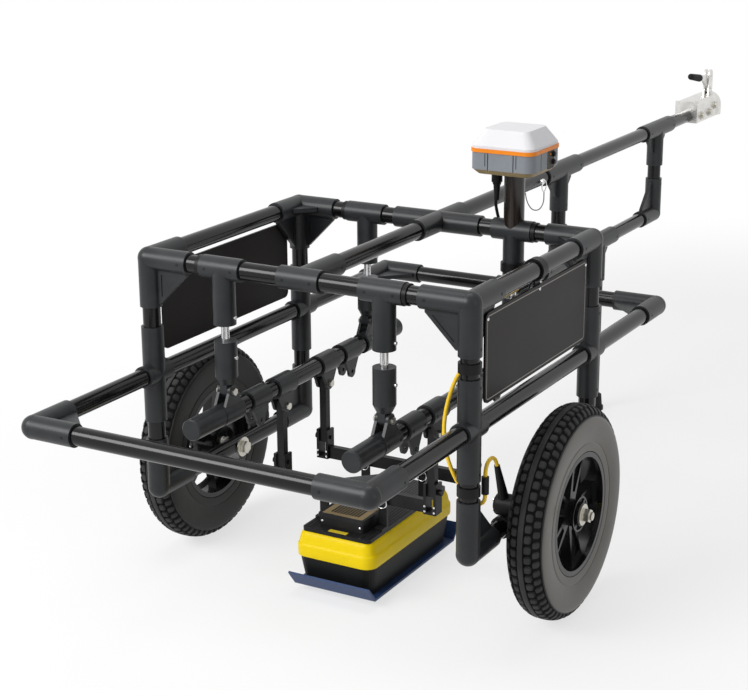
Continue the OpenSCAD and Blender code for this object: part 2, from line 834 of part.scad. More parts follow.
module coupler_body() {
    house_h = coupler_h - 37;
    color(bright_steel) cart() difference() {
        union() {
            difference() {
                union() {
                    coupler_channel(0, coupler_y, ball_y);
                    translate([0, ball_y, top_z - coupler_drop]) cylinder(d = ball_house_d, h = house_h);
                    translate([0, ball_y, top_z - coupler_drop + house_h]) intersection() {
                        sphere(d = ball_house_d - 0.5);
                        cylinder(d = 2 * ball_house_d, h = ball_house_d);
                    }
                }
                translate([0, 0, -over]) coupler_channel(-coupler_wall, coupler_y - over, ball_y);
            }
            for (x = [lever_t / 2 + side_gap, -lever_t / 2 - side_gap - ear_t])
                translate([x, lever_y, 0]) latch_ear();
        }
        translate([0, ball_y, ball_z]) sphere(d = ball_d + 2 * side_gap);
        translate([0, ball_y, top_z - coupler_drop - over])
            cylinder(d = ball_d + 2 * side_gap, h = ball_z - top_z + coupler_drop + over);
        translate([0, lever_y, lever_z]) rotate(right)
            cylinder(d = lever_pin_d + 2 * run_fit, h = 3 * ear_w, center = true);
        translate([0, lever_y, lever_z + 40]) rotate(right)
            cylinder(d = safety_d, h = 3 * ear_w, center = true);
    }
}

// The lever rises from its pivot, bends, and carries the grip on a bar
module coupler_lever() {
    w = lever_half;
    end_y = grip_y + 5;
    color(bright_steel) cart() {
        translate([-lever_t / 2, 0, 0]) rotate([90, 0, 90]) linear_extrude(lever_t) polygon([
            [lever_y - w, lever_z - w], [lever_y + w, lever_z - w], [lever_y + w, lever_z + w],
            [bend_y + w, bend_z + w + 2], [end_y, grip_z + w], [end_y, grip_z - w], [bend_y - w, bend_z - w]]);
        translate([0, lever_y, lever_z]) rotate(right)
            cylinder(d = lever_pin_d, h = lever_t + 2 * (ear_t + side_gap) + 6, center = true);
        at_grip() translate([0, 0, -8]) cylinder(d = grip_bar_d, h = grip_l - 4 + 8);
    }
}

module at_grip() {
    translate([0, grip_y, grip_z]) rotate([90 - grip_tilt, 0, 0]) children();
}

module lever_grip() {
    color(rubber_black) cart() at_grip() difference() {
        union() {
            cylinder(d1 = grip_d + 2, d2 = grip_d - 2, h = grip_l - grip_d / 2);
            translate([0, 0, grip_l - grip_d / 2]) sphere(d = grip_d - 2.2);
        }
        translate([0, 0, -over]) cylinder(d = grip_bar_d + 2 * socket_gap, h = grip_l - 3);
    }
}

// Wheels: on an axle the local Z axis points outwards
module on_axle(side) {
    cart() translate([side * wheel_x, 0, axle_z]) mirror([side < 0 ? 1 : 0, 0, 0]) rotate(right) children();
}

module on_axles() {
    for (side = [-1, 1]) on_axle(side) children();
}

module tyre() {
    turns = [-bead_turn:8:180 + bead_turn];
    outside = [for (t = turns) tyre_point(carcass_a, tyre_w / 2, t)];
    inside = [for (t = turns) tyre_point(carcass_a - tread_wall, tyre_w / 2 - tyre_wall, t)];
    tread_w = (tyre_w - rib_w) / 2 - groove_w;
    difference() {
        rotate_extrude($fn = 96) polygon(concat(outside, reversed(inside)));
        for (s = [-1, 1]) {
            translate([0, 0, s * (rib_w + groove_w) / 2])
                ring(tyre_d + 2 * over, tyre_d - 2 * tread_h, groove_w);
            low = s > 0 ? (rib_w + groove_w) / 2 : -tyre_w / 2 - over;
            for (i = [0:blocks - 1]) rotate(360 * (i + s / 4) / blocks)
                translate([crown_r - tread_h, -groove_w / 2, low])
                    cube([tread_h + over, groove_w, tread_w + groove_w / 2 + over]);
        }
    }
}

module spoke_outline(trim) {
    r0 = trim > 0 ? hub_flange_d / 2 + trim : 0;
    r1 = trim > 0 ? rim_open_d / 2 - trim : rim_r - 5;
    polygon([[r0, -spoke_hub_w / 2 + trim], [r1, -spoke_rim_w / 2 + trim], [r1, spoke_rim_w / 2 - trim],
        [r0, spoke_hub_w / 2 - trim]]);
}

module rim() {
    open_r = rim_open_d / 2;
    waist_r = open_r + 8;
    difference() {
        union() {
            rotate_extrude($fn = 96) polygon([[open_r, -rim_half], [rim_r - 4, -rim_half],
                [rim_r, -rim_half + 12], [rim_r, rim_half - 12], [rim_r - 4, rim_half], [open_r, rim_half],
                [waist_r, rim_half - 16], [waist_r, -rim_half + 16]]);
            translate([0, 0, -hub_in]) cylinder(d = hub_d, h = hub_in + hub_out - hub_nose_l);
            cylinder(d = hub_nose_d, h = hub_out);
            translate([0, 0, hub_out - 7.5]) ring(hub_flange_d, hub_flange_d - 9, 5);
            for (turn = [45:90:315]) rotate(turn) translate([hub_nose_d / 2 - 3, -4, hub_out - 9.5])
                cube([(hub_flange_d - hub_nose_d) / 2 + 1, 8, 4]);
            translate([0, 0, pulley_z]) cylinder(d = hub_pulley_d, h = belt_w);
            translate([0, 0, pulley_z + belt_w]) cylinder(d = hub_pulley_d + 4, h = 1.5);
            for (i = [0:spokes - 1]) rotate(360 * i / spokes + 90)
                linear_extrude(spoke_t, center = true) spoke_outline(0);
        }
        for (i = [0:spokes - 1]) rotate(360 * i / spokes + 90) translate([0, 0, spoke_t / 2 - 6])
            linear_extrude(6 + over) spoke_outline(6);
        cylinder(d = axle_d + 6, h = 4 * hub_in, center = true);
        translate([0, 0, hub_out - bearing_w]) cylinder(d = bearing_d + 2 * socket_gap, h = bearing_w + over);
        translate([0, 0, -hub_in - over]) cylinder(d = bearing_d + 2 * socket_gap, h = bearing_w + over);
    }
}

module bearing() {
    bore_r = axle_d / 2 + run_fit;
    r = bearing_d / 2;
    race = (r - bore_r) / 3;
    dish = 1.2;
    rotate_extrude() polygon([[bore_r, 0], [bore_r + race, 0], [bore_r + race, dish], [r - race, dish],
        [r - race, 0], [r, 0], [r, bearing_w], [r - race, bearing_w], [r - race, bearing_w - dish],
        [bore_r + race, bearing_w - dish], [bore_r + race, bearing_w], [bore_r, bearing_w]]);
}

module bearings() {
    translate([0, 0, hub_out - bearing_w + seat_gap]) bearing();
    translate([0, 0, -hub_in - seat_gap]) bearing();
}

module left_tyre() {
    color(rubber_black) on_axle(-1) tyre();
}

module right_tyre() {
    color(rubber_black) on_axle(1) tyre();
}

module left_rim() {
    color(rim_black) on_axle(-1) rim();
}

module right_rim() {
    color(rim_black) on_axle(1) rim();
}

module left_bearings() {
    color(bright_steel) on_axle(-1) bearings();
}

module right_bearings() {
    color(bright_steel) on_axle(1) bearings();
}

module axle_bolts() {
    head_z = rail_in - washer_t - 2 * seat_gap;
    color(zinc) on_axles() {
        translate([0, 0, head_z - axle_head_h]) hex(axle_af, axle_head_h);
        translate([0, 0, head_z - over])
            cylinder(d = axle_d, h = outer_nut_z + axle_nut_h + 6 - head_z + over);
    }
}

// Washers at both ends and the spacer between the rail and the hub
module axle_sleeves() {
    spacer_l = -hub_in - 2 * seat_gap - rail_out - 2 * end_gap;
    color(zinc) on_axles() {
        for (z = [rail_in - washer_t / 2 - seat_gap, outer_washer_z + washer_t / 2])
            translate([0, 0, z]) ring(washer_d, axle_d + 2 * socket_gap, washer_t);
        translate([0, 0, rail_out + end_gap + spacer_l / 2])
            ring(axle_d + 12, axle_d + 2 * socket_gap, spacer_l);
    }
}

module axle_nuts() {
    color(zinc) on_axles() translate([0, 0, outer_nut_z]) difference() {
        hex(axle_af, axle_nut_h);
        translate([0, 0, -over]) cylinder(d = axle_d + 2 * run_fit, h = axle_nut_h + 2 * over);
    }
}

// Odometer
module at_encoder() {
    cart() translate([0, -encoder_back, encoder_z]) children();
}

module encoder_bracket() {
    wide = encoder_d + 12;
    lug_h = 16;
    color(bar_black) at_encoder() difference() {
        union() {
            translate([half_w, 0, -encoder_rise]) rotate(ahead)
                cylinder(d = tube_d + 2 * clamp_wall, h = clamp_w, center = true);
            translate([half_w, -clamp_w / 2, -encoder_rise - lug_h / 2])
                cube([bracket_x + bracket_t - half_w, clamp_w, lug_h]);
            translate([bracket_x, -wide / 2, -encoder_rise]) cube([bracket_t, wide, encoder_rise]);
            translate([bracket_x, 0, 0]) rotate(right) cylinder(d = wide, h = bracket_t);
        }
        translate([half_w, 0, -encoder_rise]) rotate(ahead)
            cylinder(d = socket_d, h = 2 * wide, center = true);
        rotate(right) cylinder(d = shaft_d + 8, h = 4 * wheel_x);
    }
}

module encoder_body() {
    r = encoder_d / 2;
    edge = 7;
    color(rubber_black) at_encoder() {
        translate([bracket_x - seat_gap, 0, 0]) rotate(left) rotate_extrude() polygon([
            [shaft_d / 2 + run_fit, 0], [r, 0], [r, encoder_l - edge], [r - 2, encoder_l - 3],
            [r - edge, encoder_l], [0, encoder_l], [0, encoder_l - 10],
            [shaft_d / 2 + run_fit, encoder_l - 10]]);
        translate([gland_x, 0, 0]) rotate([gland_turn, 0, 0]) translate([0, 0, r - 2])
            cylinder(d1 = gland_d, d2 = gland_tip_d, h = gland_l + 2);
    }
}

module encoder_pulley() {
    color(zinc) at_encoder() translate([bracket_x - encoder_l + 12, 0, 0]) rotate(right) {
        cylinder(d = shaft_d, h = wheel_x + pulley_z + belt_w - bracket_x + encoder_l - 12);
        translate([0, 0, wheel_x + pulley_z - bracket_x + encoder_l - 12])
            cylinder(d = small_pulley_d, h = belt_w);
    }
}

module belt_loop(grow) {
    hull() {
        circle(d = hub_pulley_d + 2 * grow, $fn = 60);
        translate([-encoder_rise, -encoder_back]) circle(d = small_pulley_d + 2 * grow, $fn = 32);
    }
}

module drive_belt() {
    color(rubber_black) on_axle(1) translate([0, 0, pulley_z + 0.5]) linear_extrude(belt_w - 1) difference() {
        belt_loop(belt_t + side_gap);
        belt_loop(side_gap);
    }
}

module odometer_cable() {
    color(cable_yellow) cart() {
        cord(short_route, cable_d);
        cord(long_route, cable_d);
    }
}

// Connectors: one hangs at the post, one lies under the top rail, one hangs at the strut leg
module cable_connectors() {
    lead_end = lead_route[len(lead_route) - 1];
    color(rubber_black) cart() {
        translate(post_plug) cylinder(d = plug_d, h = plug_l);
        translate(rail_end) rotate(ahead) cylinder(d = plug_d, h = plug_l);
        translate(lead_end - [0, 0, plug_l + seat_gap]) cylinder(d = plug_d, h = plug_l);
    }
}

module strap(around) {
    ring(around + 2 * clamp_wall, around + 2 * socket_gap, strap_w);
}

module cable_straps() {
    color(tube_black) cart() {
        for (z = post_gap_z) translate([half_w, -half_l, z]) strap(tube_d);
        translate([strut_x, half_l, lead_plug_z - plug_l / 2]) strap(fit_d);
    }
}

// Suspension
module at_arms() {
    cart() sides() translate([strut_x, 0, arm_z]) children();
}

module arm_tubes() {
    color(tube_black) at_arms() run_y(-arm_l / 2 + cap_t + end_gap, arm_l / 2 - cap_t - end_gap);
}

// Closed sleeves over the arm's ends, up to the strut clevises
module arm_caps() {
    l = arm_l / 2 - half_l - clevis_l / 2 - seat_gap;
    d = fit_d - 2;
    color(fitting_grey) at_arms() ends() translate([0, -arm_l / 2, 0]) rotate(ahead) difference() {
        union() {
            cylinder(d1 = d - 6, d2 = d, h = 3);
            translate([0, 0, 3]) cylinder(d = d, h = l - 3);
        }
        translate([0, 0, cap_t]) cylinder(d = socket_d, h = l);
    }
}

module clevis() {
    foot = clevis_l / 2 - 6;
    difference() {
        union() {
            rotate(ahead) cylinder(d = fit_d, h = clevis_l, center = true);
            for (s = [-1, 1]) translate([s * (clevis_gap + clevis_t) / 2, 0, 0]) {
                rotate([90, 0, 90]) linear_extrude(clevis_t, center = true) polygon([[-foot, 0], [foot, 0],
                    [foot, 22], [clevis_r - 0.6, clevis_h], [0.6 - clevis_r, clevis_h], [-foot, 22]]);
                translate([0, 0, clevis_h]) rotate(right) cylinder(r = clevis_r, h = clevis_t, center = true);
            }
        }
        rotate(ahead) cylinder(d = socket_d, h = clevis_l + 2 * over, center = true);
        translate([0, 0, clevis_h]) rotate(right)
            cylinder(d = bolt_d + 2 * run_fit, h = 4 * clevis_gap, center = true);
    }
}

module arm_clevises() {
    color(fitting_grey) at_arms() {
        ends() translate([0, -half_l, 0]) clevis();
        for (y = concat(link_ys, spare_ys)) translate([0, y, 0]) rotate(down) clevis();
    }
}

module clevis_bolt() {
    reach = clevis_gap / 2 + clevis_t + seat_gap;
    rotate(right) {
        translate([0, 0, -reach - over]) cylinder(d = bolt_d, h = 2 * (reach + over));
        translate([0, 0, reach]) hex(bolt_af, bolt_head);
        translate([0, 0, -reach - bolt_head]) hex(bolt_af, bolt_head);
    }
}

module clevis_bolts() {
    color(zinc) at_arms() {
        ends() translate([0, -half_l, clevis_h]) clevis_bolt();
        for (y = link_ys) translate([0, y, -clevis_h]) clevis_bolt();
    }
}

module at_struts() {
    cart() sides() ends() translate([strut_x, -half_l, 0]) children();
}

module strut_rods() {
    rod_z = sleeve_top_z - rod_grip;
    color(bright_steel) at_struts() translate([0, 0, rod_z])
        cylinder(d = rod_d, h = leg_end_z + rod_grip - rod_z);
}

module strut_sleeves() {
    t = clevis_gap - 2 * seat_gap;
    color(fitting_grey) at_struts() difference() {
        union() {
            translate([0, 0, sleeve_z]) cylinder(d = fit_d, h = sleeve_l);
            translate([0, 0, sleeve_z - neck_h]) cylinder(d1 = neck_d, d2 = fit_d, h = neck_h);
            intersection() {
                translate([-t / 2, -tongue_wide / 2, strut_pin_z]) cube([t, tongue_wide, tongue_drop]);
                translate([0, 0, strut_pin_z]) cylinder(d = neck_d, h = tongue_drop);
            }
            translate([0, 0, strut_pin_z]) rotate(right) cylinder(d = tongue_wide - 1, h = t, center = true);
        }
        translate([0, 0, sleeve_top_z - rod_grip - end_gap])
            cylinder(d = rod_d + 2 * socket_gap, h = rod_grip + end_gap + over);
        translate([0, 0, strut_pin_z]) rotate(right)
            cylinder(d = bolt_d + 2 * run_fit, h = 4 * clevis_gap, center = true);
    }
}

// Swing links hang from the clevises and carry the blocks
module links(y) {
    cart() sides() translate([strut_x, y, 0]) difference() {
        translate([-link_w / 2, -link_w / 2, pivot_z - link_end])
            cube([link_w, link_w, link_pin_z - pivot_z + 2 * link_end]);
        for (z = [pivot_z, link_pin_z]) translate([0, 0, z]) rotate(right)
            cylinder(d = bolt_d + 2 * run_fit, h = 4 * link_w, center = true);
    }
}

module rear_links() {
    color(bar_black) links(link_ys[0]);
}

module front_links() {
    color(bar_black) links(link_ys[1]);
}

module at_blocks() {
    cart() sides() for (y = link_ys) translate([strut_x, y, 0]) children();
}

module cross_bars() {
    l = 2 * strut_x - block_w - 2 * seat_gap;
    color(bar_black) cart() for (y = link_ys) translate([0, y, bar_z]) difference() {
        translate([-l / 2, -bar_t / 2, 0]) cube([l, bar_t, bar_h]);
        sides() translate([hanger_x, 0, bar_h / 2]) rotate(ahead)
            cylinder(d = ring_pin_d + 2 * socket_gap, h = 4 * bar_t, center = true);
    }
}

module link_blocks() {
    slot = link_w + 2 * side_gap;
    color(bar_black) at_blocks() difference() {
        translate([-block_w / 2, -block_l / 2, bar_z]) cube([block_w, block_l, block_h]);
        translate([-slot / 2, -block_l, bar_z + block_floor]) cube([slot, 2 * block_l, block_h]);
        translate([0, 0, pivot_z]) rotate(right)
            cylinder(d = bolt_d + 2 * run_fit, h = 2 * block_w, center = true);
    }
}

module pivot_pins() {
    reach = block_w / 2 + seat_gap;
    color(zinc) at_blocks() translate([0, 0, pivot_z]) rotate(right) {
        translate([0, 0, -reach - 4]) cylinder(d = bolt_d, h = 2 * reach + 4 + over);
        translate([0, 0, reach]) cylinder(d = knob_d, h = knob_h);
    }
}

// Hangers stand on the sensor's deck behind the cross bars
module at_hangers() {
    cart() sides() for (y = link_ys)
        translate([hanger_x, y - bar_t / 2 - seat_gap, deck_top_z]) children();
}

module sensor_hangers() {
    color(bar_black) at_hangers() difference() {
        union() {
            translate([-hanger_w / 2, -hanger_t, 0]) cube([hanger_w, hanger_t, bar_rise + bar_h]);
            translate([-hanger_w / 2, -hanger_foot_l, 0]) cube([hanger_w, hanger_foot_l, hanger_foot_t]);
        }
        translate([0, 0, bar_rise + bar_h / 2]) rotate(ahead)
            cylinder(d = ring_pin_d + 2 * socket_gap, h = 4 * bar_t, center = true);
    }
}

module ring_pins() {
    ring_d = 26;
    tail = hanger_t + seat_gap + bar_t + 8;
    color(bright_steel) at_hangers() translate([0, -hanger_t - seat_gap, bar_rise + bar_h / 2]) {
        rotate(ahead) {
            translate([0, 0, -4]) cylinder(d = ring_pin_d + 5, h = 4);
            translate([0, 0, -over]) cylinder(d = ring_pin_d, h = tail + over);
        }
        translate([0, -4 - wire_d / 2 + over, -ring_d / 2 + 4]) rotate(ahead)
            rotate_extrude() translate([ring_d / 2, 0]) circle(d = wire_d, $fn = 16);
    }
}

module sensor_deck() {
    color(bar_black) cart() translate([0, 0, deck_z]) linear_extrude(deck_t)
        polygon(round_rect(deck_w, deck_l, 12));
}

module electronics_box() {
    rim_h = 10;
    recess = 2;
    color(bar_black) cart() translate([0, box_y, deck_top_z]) difference() {
        union() {
            linear_extrude(box_h - rim_h) polygon(round_rect(box_w - 6, box_l - 6, 6));
            translate([0, 0, box_h - rim_h]) linear_extrude(rim_h) polygon(round_rect(box_w, box_l, 6));
        }
        translate([0, 0, box_h - recess]) linear_extrude(recess + over)
            polygon(round_rect(box_w - 14, box_l - 14, 4));
    }
}

module slab(w, l, z, t = 0.5) {
    translate([0, 0, z]) linear_extrude(t) polygon(round_rect(w, l, shell_r));
}

// The shell narrows to its flat top and has a step all round at half height
module sensor_shell() {
    half = shell_h / 2;
    color(sensor_yellow) cart() translate([0, 0, shell_z]) difference() {
        union() {
            slab(sensor_w, sensor_l, 0, half);
            hull() {
                slab(sensor_w - 2 * shell_step, sensor_l - 2 * shell_step, half / 2);
                slab(sensor_w - 2 * shell_step, sensor_l - 2 * shell_step, shell_h - 9);
                slab(sensor_w - 2 * shell_step - 14, sensor_l - 2 * shell_step - 14, shell_h - 0.5);
            }
        }
        translate([0, 0, -over]) linear_extrude(shell_h - 7 + over)
            polygon(round_rect(sensor_w - 24 - 2 * shell_wall, sensor_l - 24 - 2 * shell_wall, shell_r - 12));
    }
}

module sensor_base() {
    inset = sensor_taper + shell_wall;
    color(rubber_black) cart() translate([0, 0, base_z]) difference() {
        hull() {
            slab(sensor_w - 2 * sensor_taper, sensor_l - 2 * sensor_taper, 0);
            slab(sensor_w - 8, sensor_l - 8, base_h - 0.5);
        }
        translate([0, 0, shell_wall]) linear_extrude(base_h) polygon(round_rect(sensor_w - 2 * inset,
            sensor_l - 2 * inset, shell_r - shell_wall));
    }
}

module skid_plate() {
    flat = sensor_l / 2 - 10;
    lean = skid_t * lip_h / (lip_h + lip_l);
    color(skid_blue) cart() translate([-skid_w / 2, 0, skid_lift]) rotate([90, 0, 90])
        linear_extrude(skid_w) polygon([[-flat, 0], [flat, 0], [flat + lip_l, lip_h],
            [flat + lip_l - lean, lip_h + lean], [flat - lean, skid_t], [lean - flat, skid_t],
            [lean - flat - lip_l, lip_h + lean], [-flat - lip_l, lip_h]]);
}

// Receiver on its mast, over the front right strut tee
module at_mast(z) {
    cart() translate([strut_x, half_l, z]) children();
}

module receiver_mast() {
    color(mast_brown) at_mast(top_z) difference() {
        union() {
            cylinder(d = mast_d, h = mast_h);
            translate([0, 0, mast_h - over]) cylinder(d = head_d, h = head_h - seat_gap + over);
        }
        translate([0, 0, -over]) cylinder(d = mast_d - 2 * mast_wall, h = mast_h - 6);
        rotate(right) cylinder(d = fit_d + 2 * seat_gap, h = 2 * mast_d, center = true);
    }
}

module receiver_slab(w, z, t = 0.5) {
    translate([0, 0, z]) linear_extrude(t) polygon(round_rect(w, w, receiver_r * w / receiver_w, 8));
}

module receiver_housing() {
    groove = 3;
    color(housing_grey) at_mast(receiver_z) difference() {
        hull() {
            receiver_slab(receiver_foot_w, 0);
            receiver_slab(receiver_w, foot_chamfer);
            receiver_slab(receiver_w, housing_h - 0.5);
        }
        for (turn = [0, 90, 180, 270]) rotate(turn) for (x = [-1, 1])
            translate([x * receiver_w / 5 - groove / 2, receiver_w / 2 - groove, -over])
                cube([groove, 2 * groove, housing_h + over]);
    }
}

module receiver_band() {
    color(band_orange) at_mast(receiver_z + housing_h + seat_gap) linear_extrude(band_h)
        polygon(round_rect(receiver_w + 4, receiver_w + 4, receiver_r, 8));
}

module receiver_dome() {
    color(shell_white) at_mast(receiver_z + housing_h + band_h + 2 * seat_gap) hull() {
        receiver_slab(receiver_w, 0);
        receiver_slab(receiver_w, 6);
        receiver_slab(dome_flat_w, dome_h - 0.5);
    }
}

module receiver_lead() {
    color(rubber_black) cart() {
        cord(lead_route, lead_d);
        translate([strut_x - plug_out, lead_route[0][1], lead_top_z])
            cylinder(d = 22, h = lead_plug_h - seat_gap);
    }
}

top_rails();
side_rails();
corner_posts();
tow_tube();
tongue_tubes();
landing_foot();
corner_fittings();
post_crosses();
foot_elbows();
loop_elbows();
strut_tees();
tow_fittings();
tongue_fittings();
side_panels();
panel_clamps();
tow_pin();
pin_lanyard();
coupler_plate();
coupler_body();
coupler_lever();
lever_grip();
axle_bolts();
axle_sleeves();
axle_nuts();
left_tyre();
left_rim();
left_bearings();
right_tyre();
right_rim();
right_bearings();
encoder_bracket();
encoder_body();
encoder_pulley();
drive_belt();
odometer_cable();
cable_connectors();
cable_straps();
arm_tubes();
arm_caps();
arm_clevises();
clevis_bolts();
strut_rods();
strut_sleeves();
rear_links();
front_links();
cross_bars();
link_blocks();
pivot_pins();
sensor_hangers();
ring_pins();
sensor_deck();
electronics_box();
sensor_shell();
sensor_base();
skid_plate();
receiver_mast();
receiver_housing();
receiver_band();
receiver_dome();
receiver_lead();
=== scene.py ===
import math
import bmesh
import bpy
from mathutils import Matrix, Vector


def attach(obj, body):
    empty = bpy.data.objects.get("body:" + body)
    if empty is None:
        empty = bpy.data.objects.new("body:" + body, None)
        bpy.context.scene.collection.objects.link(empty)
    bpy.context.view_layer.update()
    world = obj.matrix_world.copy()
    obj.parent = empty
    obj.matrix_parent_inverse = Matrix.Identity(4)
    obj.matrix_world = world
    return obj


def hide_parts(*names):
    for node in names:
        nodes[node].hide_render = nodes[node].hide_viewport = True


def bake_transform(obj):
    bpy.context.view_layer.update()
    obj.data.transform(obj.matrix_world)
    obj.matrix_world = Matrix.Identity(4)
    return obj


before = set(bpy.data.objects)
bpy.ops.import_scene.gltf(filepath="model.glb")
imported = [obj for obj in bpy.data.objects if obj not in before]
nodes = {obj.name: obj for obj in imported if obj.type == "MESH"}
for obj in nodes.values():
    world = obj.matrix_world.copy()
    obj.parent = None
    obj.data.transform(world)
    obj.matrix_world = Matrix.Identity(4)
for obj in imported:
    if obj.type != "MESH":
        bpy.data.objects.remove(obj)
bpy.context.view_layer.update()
print("frame loaded,", len(nodes), "solid nodes")

axleY = -0.822  # the axle line in metres, places on the cart are measured from it
fullTurn = 2 * math.pi


def addObject(name, data):
    made = bpy.data.objects.new(name, data)
    bpy.context.scene.collection.objects.link(made)
    return made


# camera, from the photo's own lines
camera = {"place": (1.927216, -3.395888 + axleY, 1.772855), "lens": 81.81, "sensor": 36.0, "reach": 60.0,
          "right": (0.8701345, 0.4927813, -0.0056999), "down": (0.1388773, -0.2562888, -0.9565716),
          "ahead": (-0.4728414, 0.8315544, -0.2914419)}


def makeCamera(spec):
    data = bpy.data.cameras.new("photoCamera")
    data.lens = spec["lens"]
    data.sensor_width = spec["sensor"]
    data.sensor_fit = "HORIZONTAL"
    data.clip_end = spec["reach"]
    body = addObject("photoCamera", data)
    columns = [Vector(spec["right"]), -Vector(spec["down"]), -Vector(spec["ahead"]),
               Vector(spec["place"])]
    body.matrix_world = Matrix([[c[i] for c in columns] for i in range(3)] + [[0, 0, 0, 1]])
    bpy.context.scene.camera = body


makeCamera(camera)
print("camera set")


# node maths: a socket that can be added, multiplied and so on
class Wire:
    def __init__(self, canvas, socket):
        self.canvas = canvas
        self.socket = socket

    def sum(self, operation, *others):
        values = dict(enumerate([self, *others]))
        return self.canvas.node("ShaderNodeMath", {"operation": operation}, values)

    def __add__(self, other):
        return self.sum("ADD", other)

    def __mul__(self, other):
        return self.sum("MULTIPLY", other)

    def __sub__(self, other):
        return self.sum("SUBTRACT", other)

    def __truediv__(self, other):
        return self.sum("DIVIDE", other)

    def __pow__(self, other):
        return self.sum("POWER", other)

    def __radd__(self, other):
        return self + other

    def __rmul__(self, other):
        return self * other

    def __rsub__(self, other):
        return self * -1.0 + other

    def size(self):
        return self.sum("ABSOLUTE")

    def swing(self):  # noise about its own middle
        return self - 0.5

    def step(self, low, high):  # smooth 0 to 1 between two values
        return self.canvas.node("ShaderNodeMapRange", {"interpolation_type": "SMOOTHSTEP"},
                                {"Value": self, "From Min": low, "From Max": high})


# one node tree: of a finish, of the world, or of geometry
class Canvas:
    def __init__(self, tree):
        self.tree = tree
        tree.nodes.clear()

    def feed(self, socket, value):
        if isinstance(value, Wire):
            self.tree.links.new(value.socket, socket)
        elif socket.type == "RGBA":
            socket.default_value = (*value, 1)
        else:
            socket.default_value = value

    def node(self, kind, settings=None, inputs=None, output=0):
        made = self.tree.nodes.new(kind)
        for key, value in (settings or {}).items():
            setattr(made, key, value)
        for key, value in (inputs or {}).items():
            self.feed(made.inputs[key], value)
        return Wire(self, made.outputs[output])

    def coords(self, scale=(1, 1, 1), shift=(0, 0, 0)):
        place = self.node("ShaderNodeTexCoord", output="Object")
        return self.node("ShaderNodeMapping", None, {"Vector": place, "Location": shift, "Scale": scale})

    def axes(self, vector):
        made = self.node("ShaderNodeSeparateXYZ", None, {0: vector})
        return [Wire(self, s) for s in made.socket.node.outputs]

    def noise(self, scale, detail, vector=None, roughness=0.55):
        return self.node("ShaderNodeTexNoise", None, {"Vector": vector or self.coords(), "Scale": scale,
                                                      "Detail": detail, "Roughness": roughness})

    def blend(self, share, first, second):  # sockets 6, 7 and 2 are the Mix node's colours
        made = self.node("ShaderNodeMix", {"data_type": "RGBA"}, {0: share, 6: first, 7: second})
        return Wire(self, made.socket.node.outputs[2])

    def rays(self):  # 1 for what is seen, mirrored or seen through, 0 for what lights the cart
        path = self.node("ShaderNodeLightPath").socket.node
        seen, mirror, through = (Wire(self, path.outputs[f"Is {kind} Ray"])
                                 for kind in ("Camera", "Glossy", "Transmission"))
        return (seen + mirror + through).sum("MINIMUM", 1.0)


class Paint(Canvas):
    def __init__(self, name, color, roughness, metallic=0.0, specular=None, ior=None):
        self.material = bpy.data.materials.new(name)
        self.material.use_nodes = True
        super().__init__(self.material.node_tree)
        self.out = self.tree.nodes.new("ShaderNodeOutputMaterial").inputs[0]
        self.shader = self.tree.nodes.new("ShaderNodeBsdfPrincipled")
        self.tree.links.new(self.shader.outputs[0], self.out)
        self.material.diffuse_color = (*color, 1)
        self.set("Base Color", color)
        self.set("Roughness", roughness)
        self.set("Metallic", metallic)
        if specular is not None:
            self.set("Specular IOR Level", specular)
        if ior is not None:
            self.set("IOR", ior)

    def set(self, name, value):
        self.feed(self.shader.inputs[name], value)

    def bump(self, height, depth):
        grain = {"Strength": 1.0, "Distance": depth, "Height": height}
        self.set("Normal", self.node("ShaderNodeBump", None, grain))


paints = {}
mottle = {"range": (0.3, 0.7), "detail": 5.0, "grainDetail": 2.0}
settling = {"color": (0.30, 0.29, 0.27), "facing": (0.35, 1.0), "scale": 35.0, "detail": 6.0,
            "range": (0.35, 0.8)}
wear = {"scale": 60.0, "detail": 6.0, "share": 0.6, "stainScale": 28.0, "stainDetail": 4.0,
        "depth": 0.00002, "spread": 0.1}


def shaded(color, amount):
    return tuple(min(1.0, c * amount) for c in color)


# a moulded or coated surface: mottled colour, uneven gloss, fine grain, dust where it looks up
def coated(name, color, roughness, spread=0.08, grain=900.0, depth=0.00004, dust=0.0,
           stretch=(1, 1, 1), blotch=9.0, tone=0.25, **fixed):
    p = Paint(name, color, roughness, **fixed)
    place = p.coords(stretch)
    wide = p.noise(blotch, mottle["detail"], place)
    fine = p.noise(grain, mottle["grainDetail"], place)
    p.plain = p.blend(wide.step(*mottle["range"]), shaded(color, 1 - tone), shaded(color, 1 + tone))
    if dust:
        normal = p.node("ShaderNodeNewGeometry", output="Normal")
        upward = p.axes(normal)[2].step(*settling["facing"])
        patches = p.noise(settling["scale"], settling["detail"]).step(*settling["range"])
        p.plain = p.blend(upward * patches * dust, p.plain, settling["color"])
    p.set("Base Color", p.plain)
    p.set("Roughness", wide.swing() * (2 * spread) + fine.swing() * spread + roughness)
    p.bump(fine, depth)
    paints[name] = p.material
    return p


# bright metal with fine lines and stains
def drawn(name, color, roughness, tone=0.12):
    p = Paint(name, color, roughness, metallic=1.0)
    lines = p.noise(wear["scale"], wear["detail"])
    stain = p.noise(wear["stainScale"], wear["stainDetail"])
    worn = lines * wear["share"] + stain * (1 - wear["share"])
    p.set("Base Color", p.blend(worn.step(*mottle["range"]), shaded(color, 1 - tone), color))
    p.set("Roughness", lines.swing() * wear["spread"] + stain.swing() * wear["spread"] + roughness)
    p.bump(lines, wear["depth"])
    paints[name] = p.material


